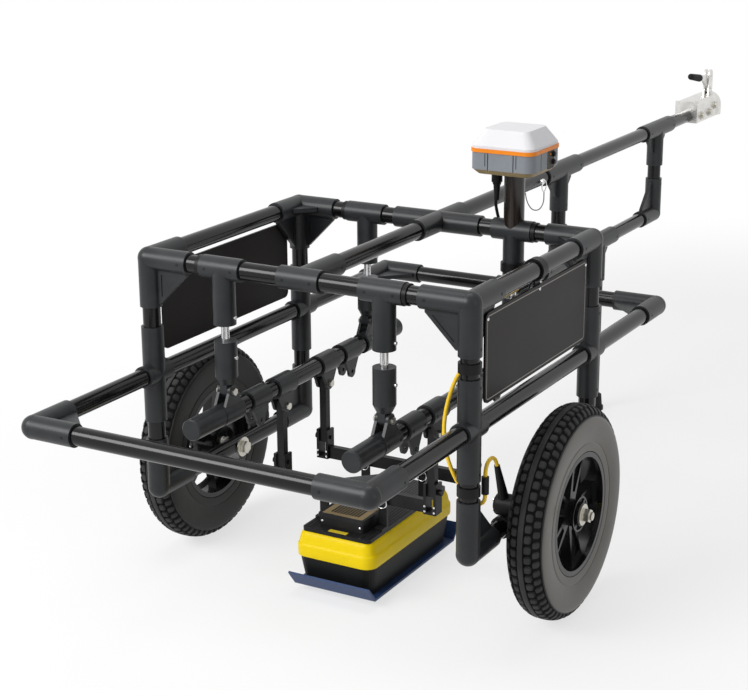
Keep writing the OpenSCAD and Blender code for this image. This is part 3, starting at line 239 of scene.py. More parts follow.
coated("tubeBlack", (0.0045, 0.0045, 0.005), 0.16, spread=0.03, grain=700.0, depth=0.00001,
       dust=0.01, blotch=14.0, ior=1.36)
coated("fittingBlack", (0.0185, 0.020, 0.0218), 0.36, spread=0.06, grain=1600.0, depth=0.00005,
       dust=0.015, ior=1.36)
coated("clampBlack", (0.009, 0.009, 0.0095), 0.36, dust=0.02, ior=1.24)
coated("rubberBlack", (0.014, 0.014, 0.014), 0.66, grain=1200.0, dust=0.03, ior=1.24)
coated("rimBlack", (0.008, 0.008, 0.0085), 0.24, dust=0.015, ior=1.4)
coated("encoderBlack", (0.010, 0.010, 0.011), 0.42, dust=0.02, ior=1.24)
coated("barBlack", (0.014, 0.014, 0.015), 0.34, stretch=(3, 1, 3), dust=0.02, ior=1.24)
coated("boxBlack", (0.018, 0.018, 0.019), 0.45, dust=0.03, ior=1.24)
coated("sensorYellow", (0.89, 0.65, 0.003), 0.36, spread=0.05, grain=1100.0, depth=0.00003,
       tone=0.05, blotch=6.0, ior=1.25)
coated("sensorBlack", (0.010, 0.0105, 0.011), 0.5, grain=1500.0, depth=0.00006, dust=0.015,
       ior=1.24)
coated("skidBlue", (0.018, 0.046, 0.135), 0.46, spread=0.12, stretch=(9, 1, 9), blotch=20.0,
       tone=0.3, depth=0.00005, specular=0.3)
coated("mastBrown", (0.012, 0.0078, 0.0058), 0.2, stretch=(6, 6, 0.5), tone=0.4, blotch=30.0)
coated("receiverOrange", (0.87, 0.25, 0.01), 0.38, tone=0.06, specular=0.3)
coated("receiverWhite", (0.72, 0.717, 0.738), 0.32, tone=0.02, depth=0.00002, ior=1.3)
coated("cableYellow", (0.86, 0.56, 0.03), 0.42, tone=0.08, grain=1500.0, specular=0.3)
coated("leadBlack", (0.009, 0.009, 0.009), 0.45, grain=1500.0, ior=1.24)
coated("tyreRubber", (0.031, 0.031, 0.032), 0.54, grain=800.0, depth=0.00008, tone=0.3, blotch=20.0,
       dust=0.05, ior=1.24)
# painted shade: the ground between the tread blocks is darker than the tread rubber, standing in for the
# shade in the grooves
coated("tyreGroove", (0.005, 0.005, 0.005), 0.7, grain=800.0, depth=0.00005, ior=1.2)
coated("tyreWall", (0.063, 0.058, 0.047), 0.36, grain=800.0, depth=0.00005, tone=0.2, blotch=16.0,
       dust=0.04)
# painted shade: the inner walls, towards the cart, are darker than the outer walls to stand in for the
# shade they lie in
coated("tyreWallInside", (0.021, 0.0205, 0.0195), 0.46, grain=800.0, depth=0.00005, tone=0.2,
       blotch=16.0, ior=1.3)
coated("lidTan", (0.27, 0.20, 0.10), 0.5, tone=0.15, specular=0.3)
coated("labelYellow", (0.72, 0.53, 0.03), 0.45, tone=0.08, specular=0.3)
coated("portBrown", (0.03, 0.024, 0.02), 0.4, ior=1.24)
drawn("pinSteel", (0.74, 0.74, 0.75), 0.2)
drawn("wireSteel", (0.12, 0.12, 0.12), 0.4)
drawn("couplerZinc", (0.75, 0.74, 0.715), 0.3, tone=0.22)
drawn("boltZinc", (0.62, 0.60, 0.54), 0.3, tone=0.2)

# side panels: a pale line a little way in from the edge, on each panel's outer face, a painted highlight
# for the light the panel's edge catches
panel = {"color": (0.009, 0.0066, 0.006), "line": (0.40, 0.38, 0.35), "half": (0.2755, 0.1015),
         "middle": 0.6855, "corner": 0.016, "inset": 0.008, "lineEdge": (0.00054, 0.00126),
         "faceEdge": (0.4251, 0.4255)}


def panelFinish(spec):
    p = coated("panelBlack", spec["color"], 0.34, spread=0.06, tone=0.15, depth=0.00002, ior=1.19)
    x, y, z = p.axes(p.coords(shift=(0, -axleY, -spec["middle"])))
    over = [a.size() - (h - spec["corner"]) for a, h in zip((y, z), spec["half"])]
    out = [a.sum("MAXIMUM", 0.0) for a in over]
    inside = over[0].sum("MAXIMUM", over[1]).sum("MINIMUM", 0.0)
    far = (out[0] * out[0] + out[1] * out[1]) ** 0.5 + inside - spec["corner"]  # from the round edge
    # painted highlight: the pale line standing in for light caught along the panel's edge
    paintedEdgeHighlight = 1.0 - (far + spec["inset"]).size().step(*spec["lineEdge"])
    paintedEdgeHighlight = paintedEdgeHighlight * x.size().step(*spec["faceEdge"])
    p.set("Base Color", p.blend(paintedEdgeHighlight, p.plain, spec["line"]))


panelFinish(panel)

# receiver housing: grey, tan on the lower slope, two dark seams down the rear face
housing = {"grey": (0.225, 0.243, 0.268), "tan": (0.33, 0.245, 0.115), "seam": (0.02, 0.022, 0.025),
           "middle": 0.208, "apart": 0.041, "seamEdge": (0.00077, 0.00143), "lowEdge": (0.9905, 0.9915),
           "slopeEdge": (0.9814, 0.9826), "rearEdge": (0.2705 + axleY, 0.2725 + axleY)}


def housingFinish(spec):
    p = coated("receiverGrey", spec["grey"], 0.46, grain=1300.0, tone=0.06, specular=0.3)
    x, y, z = p.axes(p.coords())
    sloped = p.blend(1.0 - z.step(*spec["slopeEdge"]), p.plain, spec["tan"])
    line = 1.0 - ((x - spec["middle"]).size() - spec["apart"]).size().step(*spec["seamEdge"])
    line = line * z.step(*spec["lowEdge"]) * (1.0 - y.step(*spec["rearEdge"]))
    p.set("Base Color", p.blend(line, sloped, spec["seam"]))


housingFinish(housing)

dress = {
    "tubeBlack": ["top_rails", "side_rails", "corner_posts", "tow_tube", "tongue_tubes", "arm_tubes"],
    "fittingBlack": ["corner_fittings", "post_crosses", "foot_elbows", "loop_elbows", "strut_tees",
                     "tow_fittings", "tongue_fittings", "arm_caps", "arm_clevises", "strut_sleeves"],
    "panelBlack": ["side_panels"],
    "clampBlack": ["panel_clamps", "cable_straps", "pivot_pins"],
    "rubberBlack": ["landing_foot", "lever_grip", "drive_belt"],
    "pinSteel": ["tow_pin", "pin_lanyard", "strut_rods", "ring_pins", "left_bearings", "right_bearings"],
    "couplerZinc": ["coupler_plate", "coupler_body", "coupler_lever"],
    "boltZinc": ["axle_bolts", "axle_sleeves", "axle_nuts", "clevis_bolts", "encoder_pulley"],
    "tyreRubber": ["left_tyre", "right_tyre"],
    "rimBlack": ["left_rim", "right_rim"],
    "encoderBlack": ["encoder_body", "cable_connectors"],
    "barBlack": ["encoder_bracket", "rear_links", "front_links", "cross_bars", "link_blocks",
                 "sensor_hangers", "sensor_deck"],
    "boxBlack": ["electronics_box"],
    "sensorYellow": ["sensor_shell"],
    "sensorBlack": ["sensor_base"],
    "skidBlue": ["skid_plate"],
    "mastBrown": ["receiver_mast"],
    "receiverGrey": ["receiver_housing"],
    "receiverOrange": ["receiver_band"],
    "receiverWhite": ["receiver_dome"],
    "cableYellow": ["odometer_cable"],
    "leadBlack": ["receiver_lead"]}
for finish, members in dress.items():
    for member in members:
        nodes[member].data.materials.clear()
        nodes[member].data.materials.append(paints[finish])
print("finishes on", sum(len(m) for m in dress.values()), "nodes")


# mesh helpers
def meshPiece(name, points, faces, finish, smooth=True):
    mesh = bpy.data.meshes.new(name)
    mesh.from_pydata([tuple(p) for p in points], [], faces)
    mesh.polygons.foreach_set("use_smooth", [smooth] * len(mesh.polygons))
    mesh.materials.append(paints[finish])
    return addObject(name, mesh)


def fromCart(point):  # millimetres from the axle line to metres in the frame
    return Vector((point[0] / 1000, point[1] / 1000 + axleY, point[2] / 1000))


def inMetres(pairs):
    return [(a / 1000, b / 1000) for a, b in pairs]


def stitch(rings, sides):  # faces between rings of points one after another, both ends capped
    faces = []
    for j in range(rings - 1):
        for k in range(sides):
            a, b = j * sides + k, j * sides + (k + 1) % sides
            faces.append((a, b, b + sides, a + sides))
    faces.append(tuple(reversed(range(sides))))
    faces.append(tuple(range((rings - 1) * sides, rings * sides)))
    return faces


def smoothRoute(points, steps):  # rounded line through every point, however far apart they are
    gaps = [(b - a).length for a, b in zip(points, points[1:])]
    slopes = [(b - a) / g for a, b, g in zip(points, points[1:], gaps)]
    inner = [(s * h + t * g) / (g + h) for s, t, g, h in zip(slopes, slopes[1:], gaps, gaps[1:])]
    ways = [slopes[0], *inner, slopes[-1]]
    route = []
    for a, b, g, u, v in zip(points, points[1:], gaps, ways, ways[1:]):
        for k in range(steps):
            t = k / steps
            late = t * t * (3 - 2 * t)
            leaving = a * (1 - late) + b * late + u * (g * t * (1 - t) ** 2)
            route.append(leaving - v * (g * t * t * (1 - t)))
    return [*route, points[-1]]


def sweep(route, radius, sides):  # closed round tube along a route, ring directions carried along it
    points = []
    side = None
    for i, p in enumerate(route):
        ahead = (route[min(i + 1, len(route) - 1)] - route[max(i - 1, 0)]).normalized()
        side = ahead.orthogonal() if side is None else side - ahead * side.dot(ahead)
        side.normalize()
        other = ahead.cross(side)
        for k in range(sides):
            a = fullTurn * k / sides
            points.append(p + radius * (math.cos(a) * side + math.sin(a) * other))
    return points, stitch(len(route), sides)


def layCord(name, spec, finish):
    route = smoothRoute([fromCart(p) for p in spec["points"]], spec["steps"])
    points, faces = sweep(route, spec["thick"] / 2, spec["sides"])
    length = sum((b - a).length for a, b in zip(route, route[1:]))
    return meshPiece(name, points, faces, finish), route, length


# cables, along the same points as the solids
yellowCable = {"thick": 0.009, "steps": 6, "sides": 14, "finish": "cableYellow", "slot": "cable_yellow",
               "node": "odometer_cable"}
cables = {
    "odometerCableShort": {
        **yellowCable,
        "points": [(419.1, -195.5, 417.7), (419.1, -197, 421.2), (419.8, -204.9, 432.6),
                   (421.6, -217, 441.5), (424.1, -231.6, 447.8), (427.1, -247.3, 451),
                   (430, -262.2, 451.1), (432.5, -274.9, 447.6), (434.3, -283.7, 440.4),
                   (435, -287, 429), (435, -287, 425.2)]},
    "odometerCableLong": {
        **yellowCable,
        "points": [(435, -287, 384.8), (435, -287, 381), (433, -285.6, 370.6),
                   (427.4, -282.4, 361.7), (418.9, -280.1, 355.8), (409, -281.2, 353.7),
                   (399.1, -286.5, 355.8), (390.6, -294.1, 361.7), (385, -300.8, 370.6),
                   (383, -303.5, 381), (383, -306.5, 395), (386.8, -314.7, 404.1),
                   (380, -322, 424), (372, -326, 444.9), (363, -328, 472), (357, -328, 505),
                   (355, -328, 540), (358, -326, 574.9), (365, -322, 610.1), (376, -317, 645),
                   (386, -313.4, 668), (387.8, -312.6, 680), (388, -310, 692), (387, -301, 722),
                   (388, -291, 748), (390, -277, 768), (394, -258, 781), (398, -236, 787),
                   (401, -212, 789), (402, -185, 790), (402, -70, 790), (402, -66.2, 790)]},
    "receiverLead": {
        "thick": 0.008, "steps": 6, "sides": 14, "finish": "leadBlack", "slot": "lead_black",
        "node": "receiver_lead",
        "points": [(160, 328, 930.1), (160, 328, 926.2), (159, 329, 913.9), (156, 333, 896),
                   (152, 341, 878), (150, 352, 858), (152, 361, 834), (159, 365.7, 810),
                   (170, 367.5, 790), (179, 367.5, 774.9), (183.4, 367.1, 765), (184, 367, 756.9),
                   (184, 367, 750)]}}


def makeCable(name, spec):  # every cable ends in a connector that stays as the solid
    cable, route, length = layCord(name, spec, spec["finish"])
    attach(cable, "frame")
    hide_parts(spec["node"])


for cableName, cableSpec in cables.items():
    makeCable(cableName, cableSpec)

# pin lanyard: wire from the tow tube to the ring
lanyard = {"thick": 0.003, "steps": 8, "sides": 12,
           "points": [(8, 832, 801.4), (11, 835, 782), (16, 841, 765), (21, 852, 753),
                      (26, 866, 748), (30, 881, 749), (32, 893, 756), (33, 901, 768),
                      (32, 905, 782), (31.5, 906, 793)]}


def makeLanyard(spec):
    wire, route, length = layCord("pinLanyardWire", spec, "wireSteel")
    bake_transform(wire)
    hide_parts("pin_lanyard")


makeLanyard(lanyard)
print("cables and lanyard laid")


# node trees for what repeats: named inputs, copies, and one finish on them
def newTree(name, **inputs):
    tree = bpy.data.node_groups.new(name, "GeometryNodeTree")
    canvas = Canvas(tree)
    tree.interface.new_socket("Geometry", in_out="INPUT", socket_type="NodeSocketGeometry")
    keys = {}
    for title, kind in inputs.items():
        made = tree.interface.new_socket(title, in_out="INPUT", socket_type="NodeSocket" + kind)
        keys[title] = made.identifier
    tree.interface.new_socket("Geometry", in_out="OUTPUT", socket_type="NodeSocketGeometry")
    given = {s.name: Wire(canvas, s) for s in tree.nodes.new("NodeGroupInput").outputs}
    return canvas, keys, given


def copiesOn(canvas, given, points, turn, size):
    model = canvas.node("GeometryNodeObjectInfo", None, {"Object": given["Piece"]}, "Geometry")
    turned = canvas.node("FunctionNodeEulerToRotation", None, {0: turn})
    return canvas.node("GeometryNodeInstanceOnPoints", None,
                       {"Points": points, "Instance": model, "Rotation": turned, "Scale": size})


def closeTree(canvas, given, copies):
    real = canvas.node("GeometryNodeRealizeInstances", None, {0: copies})
    painted = canvas.node("GeometryNodeSetMaterial", None,
                          {"Geometry": real, "Material": given["Finish"]})
    canvas.feed(canvas.tree.nodes.new("NodeGroupOutput").inputs[0], painted)


# copies of one piece on points, each turned by its own "turn"
def pointTree():
    canvas, keys, given = newTree("fastenersOnPoints", Piece="Object", Size="Float", Finish="Material")
    turn = canvas.node("GeometryNodeInputNamedAttribute", {"data_type": "FLOAT_VECTOR"},
                       {"Name": "turn"})
    closeTree(canvas, given, copiesOn(canvas, given, given["Geometry"], turn, given["Size"]))
    return canvas.tree, keys


# copies of one piece round an axle
def ringTree():
    canvas, keys, given = newTree("piecesRoundAxle", Piece="Object", Count="Int", Radius="Float",
                                  Phase="Float", Finish="Material")
    circle = canvas.node("GeometryNodeMeshCircle", None,
                         {"Vertices": given["Count"], "Radius": given["Radius"]})
    angle = canvas.node("GeometryNodeInputIndex") / given["Count"] * fullTurn
    turn = canvas.node("ShaderNodeCombineXYZ", None, {"Z": angle})
    copies = copiesOn(canvas, given, circle, turn, (1, 1, 1))
    spin = canvas.node("ShaderNodeCombineXYZ", None, {"Z": given["Phase"]})
    spun = canvas.node("GeometryNodeTransform", None, {"Geometry": copies, "Rotation": spin})
    closeTree(canvas, given, spun)
    return canvas.tree, keys


onPoints, roundAxle = pointTree(), ringTree()


def grow(name, host, tree, values):  # runs a tree on its host and keeps the plain mesh
    group, keys = tree
    change = host.modifiers.new("grow", "NODES")
    change.node_group = group
    for key, value in values.items():
        change[keys[key]] = value
    bpy.context.view_layer.update()
    graph = bpy.context.evaluated_depsgraph_get()
    mesh = bpy.data.meshes.new_from_object(host.evaluated_get(graph), depsgraph=graph)
    host.modifiers.remove(change)
    bpy.data.objects.remove(host)
    mesh.name = name
    return addObject(name, mesh)


# one shape on many places: each is (place in millimetres from the axle, turn)
def spreadCopies(name, shape, places, finish, body, size=1.0):
    model = meshPiece(name + "Model", *shape, finish, smooth=False)
    mesh = bpy.data.meshes.new(name + "Points")
    mesh.from_pydata([fromCart(place) for place, _ in places], [], [])
    turns = mesh.attributes.new("turn", "FLOAT_VECTOR", "POINT")
    for i, (_, turn) in enumerate(places):
        turns.data[i].vector = turn
    host = addObject(name + "Points", mesh)
    piece = grow(name, host, onPoints, {"Piece": model, "Size": size, "Finish": paints[finish]})
    bpy.data.objects.remove(model)
    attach(piece, body)


def lathe(profile, sides, sixSided=()):  # a closed turned shape, some of its rings six-sided
    points = []
    for j, (r, z) in enumerate(profile):
        for k in range(sides):
            a = fullTurn * k / sides
            s = 1.0
            if j in sixSided:
                s = math.cos(math.pi / 6) / math.cos((a + math.pi / 6) % (math.pi / 3) - math.pi / 6)
            points.append((r * s * math.cos(a), r * s * math.sin(a), z))
    return points, stitch(len(profile), sides)


# screws, lamps and caps: profiles in millimetres, base on the surface, sockets and heads six-sided
screwSides = 18
screws = {
    "capScrew": {"profile": [(4.6, -1.0), (4.6, 3.6), (4.1, 4.2), (2.6, 4.2), (2.5, 2.0)],
                 "six": (3, 4)},
    "buttonScrew": {"profile": [(5.2, -1.0), (5.2, 0.6), (4.6, 2.0), (3.2, 2.9), (2.1, 3.0), (2.0, 1.4)],
                    "six": (4, 5)},
    "setScrew": {"profile": [(3.4, -1.0), (3.4, 0.1), (3.0, 0.3), (1.9, 0.3), (1.8, -0.6)],
                 "six": (3, 4)},
    "lamp": {"profile": [(1.5, -0.4), (1.5, 0.3), (1.1, 0.6), (0.4, 0.7)], "six": ()},
    "portCap": {"profile": [(7.0, -0.6), (7.0, 2.2), (6.6, 2.8), (5.6, 3.0), (5.4, 5.0), (4.6, 5.6)],
                "six": ()},
    "hexBolt": {"profile": [(7.6, -1.0), (7.6, 1.2), (6.2, 1.4), (5.8, 1.4), (5.8, 5.0), (5.2, 5.6)],
                "six": (3, 4, 5)}}


def turnTo(way):  # turns a shape's Z to a direction
    return Vector(way).to_track_quat("Z", "Y")


# places are (place in millimetres from the axle, way the head looks)
def placeScrews(name, kind, places, finish, body, size=1.0):
    shape = lathe(inMetres(screws[kind]["profile"]), screwSides, screws[kind]["six"])
    turned = [(place, turnTo(way).to_euler()) for place, way in places]
    spreadCopies(name, shape, turned, finish, body, size)


# tyres: smooth carcass with a middle rib, a raised shoulder line and a lip over the rim
tyre = {"radius": 0.254, "halfWidth": 0.0445, "middle": 0.2075, "roundness": 0.77, "sides": 160,
        "ribFlat": 0.004, "ribHalf": 0.0065, "ribDrop": 0.0004,
        "tread": 0.007, "grooveFrom": 0.0078, "grooveSteps": 12, "grooveRise": 0.25, "shoulder": 0.0398,
        "shoulderLine": [(0.0412, 0.0004), (0.0420, 0.0006)], "wallFrom": 0.2285,
        "sidewall": [(0.2290, 0.0431), (0.2230, 0.0441), (0.2160, 0.0445), (0.2080, 0.0444),
                     (0.1990, 0.0440), (0.1900, 0.0432), (0.1820, 0.0422), (0.1750, 0.0411),
                     (0.1712, 0.0404), (0.1704, 0.0402), (0.1697, 0.0392), (0.1678, 0.0392),
                     (0.1671, 0.0399), (0.1640, 0.0398), (0.1590, 0.0395), (0.1540, 0.0391),
                     (0.1500, 0.0387), (0.1484, 0.0385), (0.1476, 0.0383), (0.1476, 0.03815),
                     (0.1512, 0.03815)],
        "finishes": ["tyreRubber", "tyreWall", "tyreGroove", "tyreWallInside"],
        "wheels": {"left": (-0.504, -1), "right": (0.504, 1)}, "axleZ": 0.254}

# tread blocks: rows are (near edge, far edge, length, phase), staggered on the other side
tread = {"count": 64, "ring": 0.25, "stagger": 0.5,
         "rows": [(0.0092, 0.0236, 0.0172, 0.0), (0.0272, 0.0386, 0.0146, 0.5)],
         "steps": 4, "endPull": 0.86, "sunk": 0.0012, "flare": 0.0006, "sharp": 0.6, "ease": 0.0015,
         "easeSteps": 2}


def treadRadius(z):
    share = (abs(z) / tyre["halfWidth"]) ** (2 / tyre["roundness"])
    rise = max(0.0, 1 - share) ** (tyre["roundness"] / 2)
    return tyre["middle"] + (tyre["radius"] - tyre["middle"]) * rise


def carcassProfile():
    flat, rib, start, steps = (tyre[k] for k in ("ribFlat", "ribHalf", "grooveFrom", "grooveSteps"))
    half = [(treadRadius(0), 0.0), (treadRadius(flat), flat), (treadRadius(rib) - tyre["ribDrop"], rib)]
    for i in range(steps + 1):
        z = start + (tyre["shoulder"] - start) * i / steps
        half.append((treadRadius(z) - tyre["tread"] * (1 - tyre["grooveRise"] * i / steps), z))
    half += [(treadRadius(z) + lift, z) for z, lift in tyre["shoulderLine"]]
    half += tyre["sidewall"]
    return [*reversed(half[1:]), *[(r, -z) for r, z in half]]


def turnRing(profile, sides):  # closed ring turned from a closed outline
    points, faces = [], []
    n = len(profile)
    for k in range(sides):
        a = fullTurn * k / sides
        points += [(r * math.cos(a), r * math.sin(a), z) for r, z in profile]
        here, there = k * n, (k + 1) % sides * n
        faces += [(here + j, here + (j + 1) % n, there + (j + 1) % n, there + j) for j in range(n)]
    return points, faces


def carcassFinish(middle):  # outer wall, inner wall darkened as painted shade, the ground between the blocks darkened as painted shade, or tread
    if middle.xy.length < tyre["wallFrom"]:
        return "tyreWall" if middle.z > 0 else "tyreWallInside"
    return "tyreGroove" if tyre["ribHalf"] < abs(middle.z) < tyre["shoulder"] else "tyreRubber"


def makeBlock(near, far, length):  # one tread block, its top follows the crown, edges eased
    shape = bmesh.new()
    rows = []
    for i in range(tread["steps"] + 1):
        z = near + (far - near) * i / tread["steps"]
        top = treadRadius(z) - tread["ring"]
        foot = treadRadius(z) - tyre["tread"] - tread["sunk"] - tread["ring"]
        half = length / 2 * (tread["endPull"] if i in (0, tread["steps"]) else 1.0)
        wide = half + tread["flare"]
        corners = [(foot, -wide, z), (foot, wide, z), (top, half, z), (top, -half, z)]
        rows.append([shape.verts.new(corner) for corner in corners])
    for a, b in zip(rows, rows[1:]):
        for k in range(4):
            shape.faces.new((a[k], a[(k + 1) % 4], b[(k + 1) % 4], b[k]))
    shape.faces.new(rows[0][::-1])
    shape.faces.new(rows[-1])
    bmesh.ops.recalc_face_normals(shape, faces=shape.faces)
    edges = [e for e in shape.edges if e.calc_face_angle(0) > tread["sharp"]]
    bmesh.ops.bevel(shape, geom=edges, offset=tread["ease"], segments=tread["easeSteps"], affect="EDGES")
    mesh = bpy.data.meshes.new("treadBlock")
    shape.to_mesh(mesh)
    shape.free()
    return addObject("treadBlock", mesh)


def makeRow(near, far, length, phase):
    block = makeBlock(near, far, length)
    host = addObject("treadHost", bpy.data.meshes.new("treadHost"))
    row = grow("treadRow", host, roundAxle, {
        "Piece": block, "Count": tread["count"], "Radius": tread["ring"],
        "Phase": phase * (fullTurn / tread["count"]), "Finish": paints["tyreRubber"]})
    bpy.data.objects.remove(block)
    return row


def makeTyre(side, x, way):
    carcass = bpy.data.meshes.new("carcass")
    points, faces = turnRing(carcassProfile(), tyre["sides"])
    carcass.from_pydata(points, [], faces)
    shape = bmesh.new()
    shape.from_mesh(carcass)
    bmesh.ops.recalc_face_normals(shape, faces=shape.faces)
    for face in shape.faces:
        face.smooth = True
        face.material_index = tyre["finishes"].index(carcassFinish(face.calc_center_median()))
    for near, far, length, phase in tread["rows"]:
        late = phase + tread["stagger"]
        for row in (makeRow(near, far, length, phase), makeRow(-far, -near, length, late)):
            shape.from_mesh(row.data)
            bpy.data.objects.remove(row)
    for face in list(shape.faces)[len(faces):]:
        face.material_index = tyre["finishes"].index("tyreRubber")
    turn = Matrix.Rotation(way * math.pi / 2, 4, "Y")
    shape.transform(Matrix.Translation((x, axleY, tyre["axleZ"])) @ turn)
    mesh = bpy.data.meshes.new(side + "Tyre")
    shape.to_mesh(mesh)
    shape.free()
    for finish in tyre["finishes"]:
        mesh.materials.append(paints[finish])
    piece = addObject(side + "TyreTread", mesh)
    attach(piece, side + "_wheel")
    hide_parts(side + "_tyre")
    print(side, "tyre", len(mesh.polygons), "faces")


for wheelSide, (wheelX, wheelWay) in tyre["wheels"].items():
    makeTyre(wheelSide, wheelX, wheelWay)
print("tyres made")


# blocks with round corners, in millimetres: levels are (height, inset)
def roundRect(w, l, r, steps):
    points = []
    for sx, sy, start in ((1, 1, 0), (-1, 1, 90), (-1, -1, 180), (1, -1, 270)):
        for i in range(steps + 1):
            a = math.radians(start + 90 * i / steps)
            points.append((sx * (w / 2 - r) + r * math.cos(a), sy * (l / 2 - r) + r * math.sin(a)))
    return points


def slab(w, l, r, levels, steps=5, leastCorner=0.2):
    points = []
    for z, inset in levels:
        corners = roundRect(w - 2 * inset, l - 2 * inset, max(r - inset, leastCorner), steps)
        points += [(x / 1000, y / 1000, z / 1000) for x, y in corners]
    return points, stitch(len(levels), len(points) // len(levels))


# puts a shape made at the origin on the cart, its Z turned to "way"
def seat(name, shape, at, way, finish, body, smooth=False):
    points, faces = shape
    place = Matrix.Translation(fromCart(at)) @ turnTo(way).to_matrix().to_4x4()
    piece = meshPiece(name, [place @ Vector(p) for p in points], faces, finish, smooth)
    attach(piece, body)
    return piece


# where the fittings stand, in millimetres from the axle, and how far their legs reach
layout = {"halfW": 415, "halfL": 327.5, "topZ": 822, "midZ": 542, "axleZ": 254, "rearY": -759.5,
          "frontY": 792.5, "fitR": 26.5, "strutX": 208, "armZ": 479, "linkYs": (-98, 104),
          "spareYs": (-212.75, 215.75), "braceY": 1084.7, "landingY": 1392, "elbowY": 1868.5,
          "fromEnd": 18}
legs = {"elbow": 115, "cross": 116, "footUp": 126, "footAlong": 112, "tee": 53, "towTee": 150,
        "towCross": 120, "loopTee": 105, "tongue": 118}
east, north, up = (1, 0, 0), (0, 1, 0), (0, 0, 1)
west, south, down = (-1, 0, 0), (0, -1, 0), (0, 0, -1)


def mirrored(places, along=False):  # also on the other side, and with "along" also at the other end
    made = list(places)
    made += [((-x, y, z), (-a, b, c)) for (x, y, z), (a, b, c) in made]
    if along:
        made += [((x, -y, z), (a, -b, c)) for (x, y, z), (a, b, c) in made]
    return made


def legScrews(at, *screwed):  # one near the end of each leg: direction, which leg, side it is on
    places = []
    for way, leg, side in screwed:
        reach = legs[leg] - layout["fromEnd"]
        place = tuple(a + d * reach + s * layout["fitR"] for a, d, s in zip(at, way, side))
        places.append((place, side))
    return places


def fittingScrews():
    w, l, top, mid, low, brace, landing, elbow, front = (layout[k] for k in (
        "halfW", "halfL", "topZ", "midZ", "axleZ", "braceY", "landingY", "elbowY", "frontY"))
    teeSides = [(west, "tee", south), (east, "tee", south)]
    corner = legScrews((w, -l, top), (west, "elbow", south), (north, "elbow", east),
                       (down, "elbow", east))
    cross = legScrews((w, -l, mid), (up, "cross", east), (down, "cross", east))
    foot = legScrews((w, -l, low), (up, "footUp", east), (north, "footAlong", east))
    strut = legScrews((layout["strutX"], -l, top), *teeSides)
    places = mirrored(corner + cross + foot + strut, along=True)
    for y, outward, inward in ((layout["rearY"], south, north), (front, north, south)):
        places += mirrored(legScrews((w, y, mid), (west, "elbow", outward), (inward, "elbow", east)))
    places += legScrews((0, -l, top), *teeSides, (north, "towTee", east))
    places += legScrews((0, l, top), (west, "towCross", north), (east, "towCross", north),
                        (north, "towCross", east), (south, "towCross", east))
    places += legScrews((0, front, mid), *teeSides, (north, "loopTee", east))
    for y, z, leg in ((brace, top, down), (elbow, top, down), (brace, mid, up), (landing, mid, down)):
        places += legScrews((0, y, z), *[(way, "tongue", east) for way in (north, south, leg)])
    return places + legScrews((0, elbow, mid), (south, "tongue", east), (up, "tongue", east))


# the other screws, in millimetres from the axle
spots = {"clevisApart": 27, "strutLegZ": 709, "strutSleeveZ": 614,
         "clampX": 425.7, "clampYs": (-265.5, 265.5), "clampZ": 773, "clampMiddleZ": 777,
         "barApart": 12.6, "barAhead": 16, "barZs": (234, 247),
         "couplerX": 39, "coupler": [(2204, 821), (2284, 822), (2338, 838)],
         "encoder": (396.9, -148.5, 307.1), "encoderApart": 12,
         "boxXs": (-52, 52), "boxY": -171, "boxZ": 181}


def clevisScrews():
    ys = [-layout["halfL"], layout["halfL"], *layout["linkYs"], *layout["spareYs"]]
    apart = (-spots["clevisApart"], spots["clevisApart"])
    x = layout["strutX"] + layout["fitR"]
    return mirrored([((x, y + s, layout["armZ"]), east) for y in ys for s in apart])


def strutScrews(z):
    return [((side * layout["strutX"] + layout["fitR"], end * layout["halfL"], z), east)
            for side in (1, -1) for end in (1, -1)]


def clampScrews():
    ends = mirrored([((spots["clampX"], y, spots["clampZ"]), east) for y in spots["clampYs"]])
    return ends + [((spots["clampX"], 0, spots["clampMiddleZ"]), east)]


def barScrews():
    apart = (-spots["barApart"], spots["barApart"])
    return mirrored([((layout["strutX"] + s, y - spots["barAhead"], z), south)
                     for s in apart for y in layout["linkYs"] for z in spots["barZs"]])


def encoderScrews():
    x, y, z = spots["encoder"]
    apart = (-spots["encoderApart"], spots["encoderApart"])
    return [((x, y + a, z + b), west) for a in apart for b in apart]


couplerPlaces = mirrored([((spots["couplerX"], y, z), east) for y, z in spots["coupler"]])
boxPlaces = [((x, spots["boxY"], spots["boxZ"]), south) for x in spots["boxXs"]]
strutLegPlaces, sleevePlaces = strutScrews(spots["strutLegZ"]), strutScrews(spots["strutSleeveZ"])
placeScrews("fittingSetScrews", "setScrew", fittingScrews(), "leadBlack", "frame")
placeScrews("clevisSetScrews", "setScrew", clevisScrews(), "leadBlack", "suspension")
placeScrews("strutLegScrews", "capScrew", strutLegPlaces, "pinSteel", "frame")
placeScrews("strutSleeveScrews", "capScrew", sleevePlaces, "pinSteel", "suspension")
placeScrews("panelScrews", "buttonScrew", clampScrews(), "pinSteel", "frame", size=0.8)
placeScrews("barScrews", "capScrew", barScrews(), "pinSteel", "sensor", size=0.6)
placeScrews("couplerBolts", "hexBolt", couplerPlaces, "boltZinc", "frame", size=1.9)
placeScrews("encoderScrews", "capScrew", encoderScrews(), "boltZinc", "frame", size=0.7)
placeScrews("boxScrews", "buttonScrew", boxPlaces, "pinSteel", "sensor", size=0.7)
print("screws placed")


# sensor shell: a deep rim, a soft step above it, and a top that rounds in to the top plate
shell = {"size": (216, 430), "corner": 30, "foot": (0, 0, 98), "cornerSteps": 10,
         "levels": [(0, 1.4), (0.4, 0.4), (1.4, 0), (14, 0), (25.5, 0), (28, 0.4), (30, 1.4),
                    (31.5, 2.8), (33.5, 3.9), (37, 4.6), (44, 5.9), (50, 7.6), (54.5, 9.6),
                    (57.8, 11.9), (60, 14.3), (60.9, 16), (61, 18)]}


def makeShell(spec):
    shape = slab(*spec["size"], spec["corner"], spec["levels"], spec["cornerSteps"])
    piece = seat("sensorShellSoft", shape, spec["foot"], up, "sensorYellow", "sensor",
                 smooth=True)
    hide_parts("sensor_shell")


makeShell(shell)

